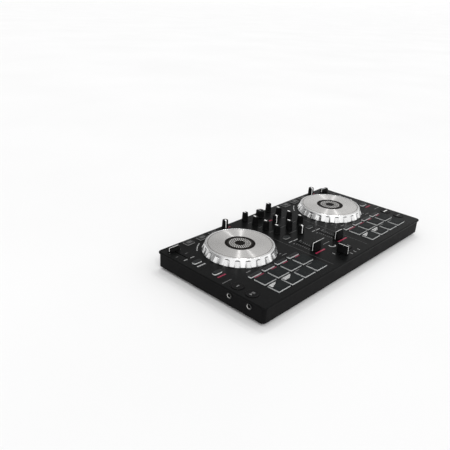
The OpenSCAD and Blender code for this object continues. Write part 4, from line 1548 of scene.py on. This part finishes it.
@dataclass
class Sockets:
    """The two sockets in the left wall, and the line outputs and USB socket at the back.

    Attributes:
        jack_rim: width of the bright rim round the bore.
        jack_edge: edge of the ring, as (inset, depth).
        jack_mouth: mouth of the bore, as (out from the bore, depth).
        line_step: length of the step from a line output's collar to its barrel.
        line_edge: edge of the barrel, as (inset, drop from its face).
        insulator: outer edge of the insulator, as (inset, drop).
        hole_edge: edge of the hole, as (out from the hole, drop).
        block: size of the block behind a barrel, along X and Y.
        board_z: height of the board that the rear sockets stand on.
        usb_shell: sections of the USB socket's shell, as (width, height, corner, way out of the wall).
        usb_tongue: sections of the tongue in it, given in the same way.
    """

    jack_ring: float = 5.75
    jack_body: float = 5.2
    jack_bore: float = 3.2
    jack_face: float = -276.2
    jack_wall: float = -274.5
    jack_end: float = -248.3
    jack_floor: float = -254.2
    jack_z: float = 26.6
    jack_rows: tuple[float, ...] = (-101.0, -55.8)
    jack_rim: float = 0.85
    jack_edge: tuple[Flat, ...] = ((0.6, 0.0), (0.15, 0.2), (0.0, 0.6))
    jack_mouth: tuple[Flat, ...] = ((0.0, 0.8), (0.2, 0.4), (0.7, 0.1))
    core_r: float = 0.3
    line_columns: tuple[float, ...] = (14.0, 31.0)
    line_z: float = 14.5
    line_r: float = 4.15
    line_core: float = 1.6
    line_face: float = 132.5
    line_depth: float = 9.0
    line_collar: float = 0.3
    line_step: float = 0.05
    line_tail: float = 0.5
    line_edge: tuple[Flat, ...] = ((0.0, 0.4), (0.35, 0.0), (0.9, 0.0))
    insulator: Flat = (1.1, 0.25)
    hole_edge: Flat = (0.3, 0.5)
    block: Flat = (12.0, 11.0)
    block_corner: float = 0.5
    wall: float = 2.35
    wall_face: float = 123.5
    board_z: float = 9.35
    usb_x: float = -25.0
    usb_z: float = 14.8
    usb_shell: tuple[tuple[float, ...], ...] = (
        (12.0, 10.9, 0.6, -16.0), (12.0, 10.9, 0.6, -0.2), (11.7, 10.6, 0.5, 0.0), (9.0, 8.3, 0.6, 0.0),
        (8.5, 7.8, 0.5, -0.4), (8.5, 7.8, 0.5, -9.0))
    usb_shell_slots: tuple[RearSlot, ...] = (RearSlot.METAL,) * 4 + (RearSlot.HOLE,) * 2
    usb_tongue: tuple[tuple[float, ...], ...] = (
        (5.4, 3.0, 0.3, -9.2), (5.4, 3.0, 0.3, -1.2), (5.0, 2.6, 0.3, -0.9))
    steps: int = 64

    def jacks(self) -> None:
        """Builds the two side sockets, each turned round its own axis."""
        r, b, body, core = self.jack_ring, self.jack_bore, self.jack_body, self.core_r
        wall, end, floor = (x - self.jack_face for x in (self.jack_wall, self.jack_end, self.jack_floor))
        outside = [(b + self.jack_rim, 0.0), *((r - inset, z) for inset, z in self.jack_edge)]
        outside += [(r, wall), (body, wall), (body, end)]
        bore = [(core, end), (core, floor), (b, floor)]
        mouth = [(b + out, z) for out, z in self.jack_mouth]
        slots = [JackSlot.RING] * len(outside) + [JackSlot.HOLE] * (len(bore) + 1)
        slots += [JackSlot.METAL] * (len(mouth) - 1)
        turn = Matrix.Rotation(math.pi / 2, 4, "Y")
        shape = Shape()
        for y in self.jack_rows:
            move = Matrix.Translation((self.jack_face, y, self.jack_z)) @ turn
            shape.lathe(outside + bore + mouth, self.steps, slots, move, closed=True)
        shape.piece("side_jacks_turned", [NICKEL, DARK_HOLE, SOCKET_BLACK], CHASSIS,
                    stands_for=["side_jacks"])

    def line_outputs(self, shape: Shape) -> None:
        """Adds the two line outputs: a barrel with a coloured insulator round its hole.

        Args:
            shape: the mesh that they are added to.
        """
        back = self.wall_face - self.wall
        reach = self.line_face - back
        r, core, wide = self.line_r, self.line_core, self.line_r + self.line_collar
        (inset, drop), (out, deep) = self.insulator, self.hole_edge
        floor = reach - self.line_depth
        barrel = [(wide, -self.line_tail), (wide, self.wall), (r, self.wall + self.line_step)]
        barrel += [(r - edge, reach - down) for edge, down in self.line_edge]
        insulator = [(r - inset, reach - drop), (core + out, reach - drop)]
        hole = [(core, reach - deep), (core, floor), (self.core_r, floor), (self.core_r, -self.line_tail)]
        width, depth = self.block
        heights = (self.board_z, 2 * self.line_z - self.board_z)
        block = [rounded(width, depth, self.block_corner, z) for z in heights]
        turn = Matrix.Rotation(-math.pi / 2, 4, "X")
        for x, tint in zip(self.line_columns, (RearSlot.WHITE, RearSlot.RED)):
            slots = [RearSlot.METAL] * len(barrel) + [tint] * len(insulator) + [RearSlot.HOLE] * len(hole)
            shape.lathe(barrel + insulator + hole, self.steps, slots,
                        Matrix.Translation((x, back, self.line_z)) @ turn, closed=True)
            shape.loft(block, RearSlot.HOLE, Matrix.Translation((x, back - depth / 2, 0.0)))

    def usb_socket(self, shape: Shape) -> None:
        """Adds the USB socket: a metal shell, a dark lining and the tongue in its mouth.

        Args:
            shape: the mesh that it is added to.
        """
        turn = Matrix.Rotation(-math.pi / 2, 4, "X")
        move = Matrix.Translation((self.usb_x, self.wall_face, self.usb_z)) @ turn
        shape.loft([rounded(*section) for section in self.usb_shell], self.usb_shell_slots, move)
        shape.loft([rounded(*section) for section in self.usb_tongue], RearSlot.WHITE, move)

    def build(self) -> None:
        """Builds and dresses every socket."""
        self.jacks()
        shape = Shape()
        self.line_outputs(shape)
        self.usb_socket(shape)
        shape.piece("rear_sockets_detailed", [NICKEL, DARK_HOLE, INSULATOR_WHITE, INSULATOR_RED], CHASSIS,
                    stands_for=["rear_sockets"])


class Stroke(Enum):
    """Ways to print a mark."""

    BAR = "one bar"
    DASHES = "short dashes of uneven length, where a label would be"


@dataclass(frozen=True)
class Mark:
    """A straight mark on the panel.

    Attributes:
        ink: what it is printed in.
        x0: its left end.
        x1: its right end.
        y: distance of its middle from the panel's front edge.
        depth: its size along Y.
        stroke: how it is printed.
    """

    ink: Finish
    x0: float
    x1: float
    y: float
    depth: float
    stroke: Stroke = Stroke.DASHES


@dataclass(frozen=True)
class Arc:
    """A pale arc on the panel.

    Attributes:
        radius: its inner radius.
        width: its width.
        first: the angle where it starts, in degrees.
        last: the angle where it ends.
    """

    radius: float
    width: float
    first: float
    last: float


@dataclass
class PanelPrint:
    """Plain marks on the panel: printed bars, ticks and a dial, and pale dashed arcs by the jogs, with no
    lettering.

    Attributes:
        front: Y of the panel's front edge.
        deck: distance from the left deck to the right one.
        deck_marks: marks of the left deck, which the right one repeats.
        channel_marks: marks of a mixer channel, from its middle.
        scale: ticks beside a channel fader, as (first distance from the front, step, depth).
        cross_ticks: upright ticks by the crossfader, as (x, distance from the front, length).
        column_marks: marks beside the right column of keys, mirrored for the left one.
        tempo_marks: marks round a tempo fader, from its middle.
        corner_marks: marks by the right edge, mirrored for the left one.
        seams: the fine line right of the mixer, mirrored for the left one.
        shapes: what is printed so far, under the inks' names.
    """

    sink: float = 0.05
    front: float = -136.0
    deck: float = 310.0
    channels: Flat = (-40.0, 40.0)
    dash_gap: float = 0.8
    dash_lengths: tuple[float, ...] = (2.2, 1.4, 3.0, 1.8)
    arc_steps: int = 8
    deck_marks: tuple[Mark, ...] = (
        Mark(INK_RED, -213.0, -189.0, 77.2, 3.6), Mark(INK_RED, -167.0, -153.0, 77.2, 3.6),
        Mark(INK_RED, -134.0, -119.0, 77.2, 3.6), Mark(INK_RED, -96.0, -83.0, 77.2, 3.6),
        Mark(INK_AND_GLINT_GREY, -211.0, -199.0, 100.0, 2.0), Mark(INK_AND_GLINT_GREY, -109.0, -95.0, 99.0, 1.6),
        Mark(INK_AND_GLINT_GREY, -109.0, -104.0, 106.0, 1.6, Stroke.BAR), Mark(INK_RED, -95.0, -88.0, 258.0, 3.4))
    # Pale dashed arcs up and to the left of each jog.
    deck_arcs: tuple[Arc, ...] = tuple(
        Arc(82.0, 1.9, first, first + 3.4) for first in (118.0, 122.4, 127.6, 131.4, 136.8))
    channel_marks: tuple[Mark, ...] = (
        Mark(INK_FAINT, -6.0, 6.0, 243.5, 1.6), Mark(INK_FAINT, -6.0, 6.0, 213.2, 1.6),
        Mark(INK_FAINT, -6.0, 6.0, 182.9, 1.6),
        Mark(INK_PALE, -14.0, -3.0, 125.0, 1.4, Stroke.BAR),
        Mark(INK_PALE, -0.5, 13.5, 124.0, 1.4, Stroke.BAR),
        Mark(INK_AND_GLINT_GREY, -13.0, -8.0, 115.0, 1.4, Stroke.BAR),
        Mark(INK_AND_GLINT_GREY, 6.0, 15.0, 115.0, 1.4, Stroke.BAR),
        Mark(INK_RED, -13.0, 18.0, 60.0, 3.4, Stroke.BAR))
    scale: Point = (110.5, 5.0, 0.8)
    scale_ticks: int = 8
    scale_x: Flat = (5.0, 10.0)
    middle_marks: tuple[Mark, ...] = (
        Mark(INK_FAINT, -10.0, 8.0, 182.8, 1.6), Mark(INK_FAINT, -18.0, 7.0, 151.7, 1.6),
        Mark(INK_AND_GLINT_GREY, -8.0, 14.0, 73.8, 1.4, Stroke.BAR), Mark(INK_PALE, 1.5, 20.0, 90.2, 1.4, Stroke.BAR),
        Mark(INK_RED, -5.0, 9.0, 222.0, 4.0))
    dial: Arc = Arc(5.5, 2.2, 140.0, 330.0)
    dial_at: Flat = (3.0, -76.5)
    cross_ticks: tuple[Point, ...] = ((-26.0, 36.5, 7.0), (2.2, 14.0, 6.5), (14.5, 14.0, 6.5),
                                      (28.8, 14.0, 6.5), (28.8, 36.5, 7.0))
    cross_half: float = 0.6
    column_marks: tuple[Mark, ...] = (
        Mark(INK_PALE, 242.0, 262.0, 174.0, 3.4), Mark(INK_RED, 242.0, 262.0, 121.5, 3.6))
    tempo_marks: tuple[Mark, ...] = (
        Mark(INK_PALE, -12.0, -3.0, 207.5, 1.4, Stroke.BAR),
        Mark(INK_PALE, 4.5, 14.0, 207.5, 1.4, Stroke.BAR),
        Mark(INK_AND_GLINT_GREY, -15.0, -9.0, 227.0, 0.9, Stroke.BAR),
        Mark(INK_AND_GLINT_GREY, 9.0, 15.0, 227.0, 0.9, Stroke.BAR),
        Mark(INK_AND_GLINT_GREY, -15.0, -9.0, 247.0, 0.9, Stroke.BAR),
        Mark(INK_AND_GLINT_GREY, 9.0, 15.0, 247.0, 0.9, Stroke.BAR))
    tempo_x: float = 253.0
    corner_marks: tuple[Mark, ...] = (Mark(INK_AND_GLINT_GREY, 248.0, 270.0, 102.0, 1.6),)
    seams: tuple[Mark, ...] = (Mark(INK_FAINT, 63.6, 64.4, 100.0, 176.0, Stroke.BAR),)
    shapes: dict[str, Shape] = field(default_factory=dict)

    def raised(self, ink: Finish, outline: Sequence[Flat]) -> None:
        """Prints a flat outline in an ink."""
        shape = self.shapes.setdefault(ink.name, Shape())
        shape.prism(outline, Level.PANEL - self.sink, Level.PANEL + INK_RISE)

    def bar(self, ink: Finish, x0: float, x1: float, y: float, depth: float) -> None:
        """Prints a bar, with the sizes that a Mark has."""
        low, high = self.front + y - depth / 2, self.front + y + depth / 2
        self.raised(ink, [(x0, low), (x1, low), (x1, high), (x0, high)])

    def dashes(self, ink: Finish, x0: float, x1: float, y: float, depth: float) -> None:
        """Prints a row of short dashes of uneven length.

        Args:
            ink: what it is printed in.
            x0: its left end.
            x1: its right end.
            y: distance of its middle from the panel's front edge.
            depth: its size along Y.
        """
        for length in cycle(self.dash_lengths):
            if x0 >= x1:
                break
            end = min(x1, x0 + length)
            self.bar(ink, x0, end, y, depth)
            x0 = end + self.dash_gap

    def marks(self, marks: Iterable[Mark], shift: float = 0.0, sign: int = 1) -> None:
        """Prints straight marks.

        Args:
            marks: the marks.
            shift: how far they are moved to the right.
            sign: -1 where they are mirrored first.
        """
        for mark in marks:
            x0, x1 = sorted((sign * mark.x0 + shift, sign * mark.x1 + shift))
            stroke = self.bar if mark.stroke is Stroke.BAR else self.dashes
            stroke(mark.ink, x0, x1, mark.y, mark.depth)

    def arc(self, arc: Arc, centre: Flat) -> None:
        """Lays a pale arc on the panel.

        Args:
            arc: its sizes.
            centre: its centre.
        """
        x, y = centre
        span = arc.last - arc.first
        angles = [math.radians(arc.first + span * i / self.arc_steps) for i in range(self.arc_steps + 1)]
        far = arc.radius + arc.width
        outline = [(x + far * math.cos(a), y + far * math.sin(a)) for a in angles]
        outline += [(x + arc.radius * math.cos(a), y + arc.radius * math.sin(a)) for a in reversed(angles)]
        self.raised(INK_PALE, outline)

    def decks(self) -> None:
        """Lays the marks that both decks have."""
        for side, shift in zip(Deck, (0.0, self.deck)):
            for arc in self.deck_arcs:
                self.arc(arc, middle(f"{side}_jog_plate"))
            self.marks(self.deck_marks, shift)

    def mixer(self) -> None:
        """Prints the scales and bars of the mixer."""
        first, step, depth = self.scale
        for x in self.channels:
            self.marks(self.channel_marks, x)
            for i in range(self.scale_ticks):
                for sign in (-1, 1):
                    near, far = sorted(x + sign * out for out in self.scale_x)
                    self.bar(INK_AND_GLINT_GREY, near, far, first - step * i, depth)
        self.marks(self.middle_marks)
        self.arc(self.dial, self.dial_at)
        for x, y, length in self.cross_ticks:
            self.bar(INK_PALE, x - self.cross_half, x + self.cross_half, y, length)

    def columns(self) -> None:
        """Prints the marks of the outer columns of keys and faders."""
        for sign in (-1, 1):
            self.marks(self.column_marks, sign=sign)
            self.marks(self.tempo_marks, sign * self.tempo_x)
        for sign in (-1, 1):
            self.marks(self.corner_marks + self.seams, sign=sign)

    def build(self) -> None:
        """Builds one piece for each ink."""
        self.decks()
        self.mixer()
        self.columns()
        for ink in (INK_PALE, INK_AND_GLINT_GREY, INK_FAINT, INK_RED):
            self.shapes[ink.name].piece(f"panel_{ink.name}", [ink], CHASSIS)


@dataclass(frozen=True)
class Lamp:
    """A distant lamp.

    Attributes:
        name: the lamp's name.
        comes_from: the direction that its light comes from.
        power: its strength.
        spread: its angular size in degrees.
    """

    name: str
    comes_from: Point
    power: float
    spread: float


@dataclass
class Studio:
    """Plain pale floor, soft light and the camera, in metres and radians.

    Attributes:
        floor_radii: radii of the floor's level part.
        wall_r: radius where the floor has curved up.
        wall_h: height that it has there.
        front_span: share of the way to the front over which the front light comes in.
        band_foot: heights over which the front light comes in.
        band_head: heights over which it goes out, from the upper one.
        top_span: heights over which the light from above comes in.
    """

    eye: Point = (-0.826442, -0.557145, 0.492017)
    yaw: float = 0.816067585
    pitch: float = 0.42195359
    roll: float = -0.0444164167
    lens: float = 41.028
    sensor: float = 36.0
    floor_radii: Point = (0.02, 2.0, 24.0)
    wall_r: float = 40.0
    wall_h: float = 3.0
    floor_steps: int = 96
    curve_steps: int = 12
    floor_color: Color = (0.87, 0.87, 0.87)
    floor_cells: float = 1.5
    floor_drift: float = 0.03
    floor_roughness: float = 0.7
    sky_base: float = 0.3
    sky_top: float = 0.45
    sky_front: float = 0.8
    sky_right: float = 0.5
    front_way: Point = (-0.34, -0.94, 0.0)
    right_way: Point = (1.0, 0.0, 0.0)
    front_span: Flat = (-0.05, 0.3)
    right_span: Flat = (0.5, 0.95)
    band_foot: Flat = (-0.02, 0.04)
    band_head: Flat = (0.85, 0.65)
    top_span: Flat = (0.45, 0.85)
    lamps: tuple[Lamp, ...] = (
        Lamp("key_light", (-0.45, -0.75, 0.9), 0.72, 24.0),
        Lamp("streak_light_far", (0.26, 0.245, 0.934), 0.3, 0.6),
        Lamp("streak_light_right", (0.492, 0.087, 0.866), 0.24, 0.6),
    )

    def floor_look(self) -> bpy.types.Material:
        """Makes the floor's material, with no sheen.

        Returns:
            The material.
        """
        material = bpy.data.materials.new("floor_pale")
        material.use_nodes = True
        wires = Wires(material.node_tree)
        shader = material.node_tree.nodes["Principled BSDF"]
        drift = wires.group(Effect.tone_drift(), Base=rgba(self.floor_color), Cells=self.floor_cells,
                            Depth=self.floor_drift)
        wires.feed(shader.inputs["Base Color"], drift.outputs["Color"])
        shader.inputs["Roughness"].default_value = self.floor_roughness
        shader.inputs["Specular IOR Level"].default_value = 0.0
        return material

    def floor(self) -> None:
        """Lays the floor under the feet, curved up far away."""
        mesh = bmesh.new()
        edge = self.floor_radii[-1]
        profile = [(r, 0.0) for r in self.floor_radii]
        for i in range(1, self.curve_steps + 1):
            a = math.pi / 2 * i / self.curve_steps
            profile.append((edge + (self.wall_r - edge) * math.sin(a), self.wall_h * (1 - math.cos(a))))
        rings = [[mesh.verts.new(p) for p in ring(r, z, self.floor_steps)] for r, z in profile]
        for a, b in zip(rings, rings[1:]):
            for i in range(self.floor_steps):
                j = (i + 1) % self.floor_steps
                mesh.faces.new((a[i], a[j], b[j], b[i])).smooth = True
        mesh.faces.new(rings[0])
        bmesh.ops.recalc_face_normals(mesh, faces=mesh.faces)
        data = bpy.data.meshes.new("floor")
        mesh.to_mesh(data)
        mesh.free()
        data.materials.append(self.floor_look())
        made = bpy.data.objects.new("floor", data)
        bpy.context.scene.collection.objects.link(made)

    def sky(self) -> None:
        """Lights the scene softly all round, more from above and the right and most from the front."""
        world = bpy.data.worlds.new("soft_sky")
        world.use_nodes = True
        bpy.context.scene.world = world
        wires = Wires(world.node_tree)
        way = wires.add("ShaderNodeTexCoord").outputs["Generated"]
        up = wires.add("ShaderNodeSeparateXYZ", Vector=way).outputs["Z"]
        facing = []
        for side in (self.front_way, self.right_way):
            node = wires.add("ShaderNodeVectorMath", {"operation": "DOT_PRODUCT"})
            wires.feed(node.inputs[0], way)
            node.inputs[1].default_value = side
            facing.append(node.outputs["Value"])
        front = wires.span(facing[0], *self.front_span, 0.0, self.sky_front)
        right = wires.span(facing[1], *self.right_span, 0.0, self.sky_right)
        band = wires.math("MULTIPLY", wires.span(up, *self.band_foot), wires.span(up, *self.band_head))
        top = wires.span(up, *self.top_span, self.sky_base, self.sky_base + self.sky_top)
        glow = wires.math("ADD", top, wires.math("ADD", right, wires.math("MULTIPLY", front, band)))
        wires.feed(world.node_tree.nodes["Background"].inputs["Color"], glow)

    def light(self) -> None:
        """Hangs the lamps."""
        for lamp in self.lamps:
            data = bpy.data.lights.new(lamp.name, "SUN")
            data.energy = lamp.power
            data.angle = math.radians(lamp.spread)
            made = bpy.data.objects.new(lamp.name, data)
            made.rotation_mode = "QUATERNION"
            made.rotation_quaternion = Vector(lamp.comes_from).to_track_quat("Z", "Y")
            bpy.context.scene.collection.objects.link(made)

    def camera(self) -> None:
        """Sets the camera at the photograph's place and angle."""
        ahead = Vector((math.sin(self.yaw) * math.cos(self.pitch), math.cos(self.yaw) * math.cos(self.pitch),
                        -math.sin(self.pitch)))
        level = Vector((math.cos(self.yaw), -math.sin(self.yaw), 0.0))
        below = ahead.cross(level)
        right = level * math.cos(self.roll) + below * math.sin(self.roll)
        down = below * math.cos(self.roll) - level * math.sin(self.roll)
        data = bpy.data.cameras.new("camera")
        data.lens = self.lens
        data.sensor_width = self.sensor
        made = bpy.data.objects.new("camera", data)
        turn = Matrix((right, -down, -ahead)).transposed().to_4x4()
        made.matrix_world = Matrix.Translation(self.eye) @ turn
        bpy.context.scene.collection.objects.link(made)
        bpy.context.scene.camera = made

    def build(self) -> None:
        """Sets up the whole studio."""
        bpy.context.scene.view_settings.view_transform = "Standard"
        self.floor()
        self.sky()
        self.light()
        self.camera()


# The whole controller

JOG_TURNS = {Deck.LEFT: -1.6, Deck.RIGHT: 6.0}
KNOB_LOW_END = -150.0
CROSSFADER_RISE = 17.5
CHANNEL_FADER_RISE = 18.5
TEMPO_FADER_RISE = 9.5
# The right cue's printed dash is lengthened and whitened as a painted highlight.
RIGHT_CUE_HIGHLIT_DASH = 17.0


def cue_buttons() -> list[RoundButton]:
    """Returns the cue buttons of both decks, the right one's dash made long and white as a painted highlight
    on its print.
    """
    return [RoundButton("left_cue_button", Sign.DASH),
            RoundButton("right_cue_button", Sign.DASH, INK_AND_GLINT_WHITE, RIGHT_CUE_HIGHLIT_DASH)]


def cue_keys() -> KeyStrip:
    """Returns the headphone cue keys of both channels."""
    cap = KeyCap(17.0, 10.0, corner=3.5, rounding=0.8)
    return KeyStrip("phones_cue_keys", count=2, cap=cap, side=SMOKE_SIDE, top=KEY_TOP)


def knobs() -> list[Knob]:
    """Lists the knobs.

    Returns:
        Every knob, with its pointer's angle, and last the wide browse knob.
    """
    made = [Knob(f"{side}_{row}_knob") for side in Deck for row in ("trim", "high", "middle", "low")]
    made += [Knob(f"{side}_effect_knob", KNOB_LOW_END) for side in Deck]
    made += [Knob("master_level_knob", KNOB_LOW_END), Knob("phones_mix_knob"),
             Knob("phones_level_knob", KNOB_LOW_END)]
    made.append(Knob("browse_knob", radius=10.0, rise=17.0, gap=1.6, flutes=30, flute_depth=0.5, line_w=0.8,
                     top_w=1.2, shaft_low=1.7))
    return made


def faders() -> list[FaderCap]:
    """Lists the faders.

    Returns:
        Every fader's cap.
    """
    made = [FaderCap("crossfader", CROSSFADER_RISE, across=True)]
    made += [FaderCap(f"{side}_channel_fader", CHANNEL_FADER_RISE) for side in Deck]
    made += [FaderCap(f"{side}_tempo_fader", TEMPO_FADER_RISE) for side in Deck]
    return made


def main() -> None:
    """Builds the controller in order."""
    logging.basicConfig(level=logging.INFO, format="%(message)s")
    Casing().build()
    for side in Deck:
        for group in (JogWheel(side, JOG_TURNS[side]), PadBank(side), KeyRows(side),
                      RoundButton(f"{side}_play_button", Sign.PLAY)):
            group.build()
    for control in (*cue_buttons(), cue_keys(), *knobs(), *faders()):
        control.build()
    for rest in (Sockets(), PanelPrint(), Studio()):
        rest.build()


if __name__ == "__main__":
    main()
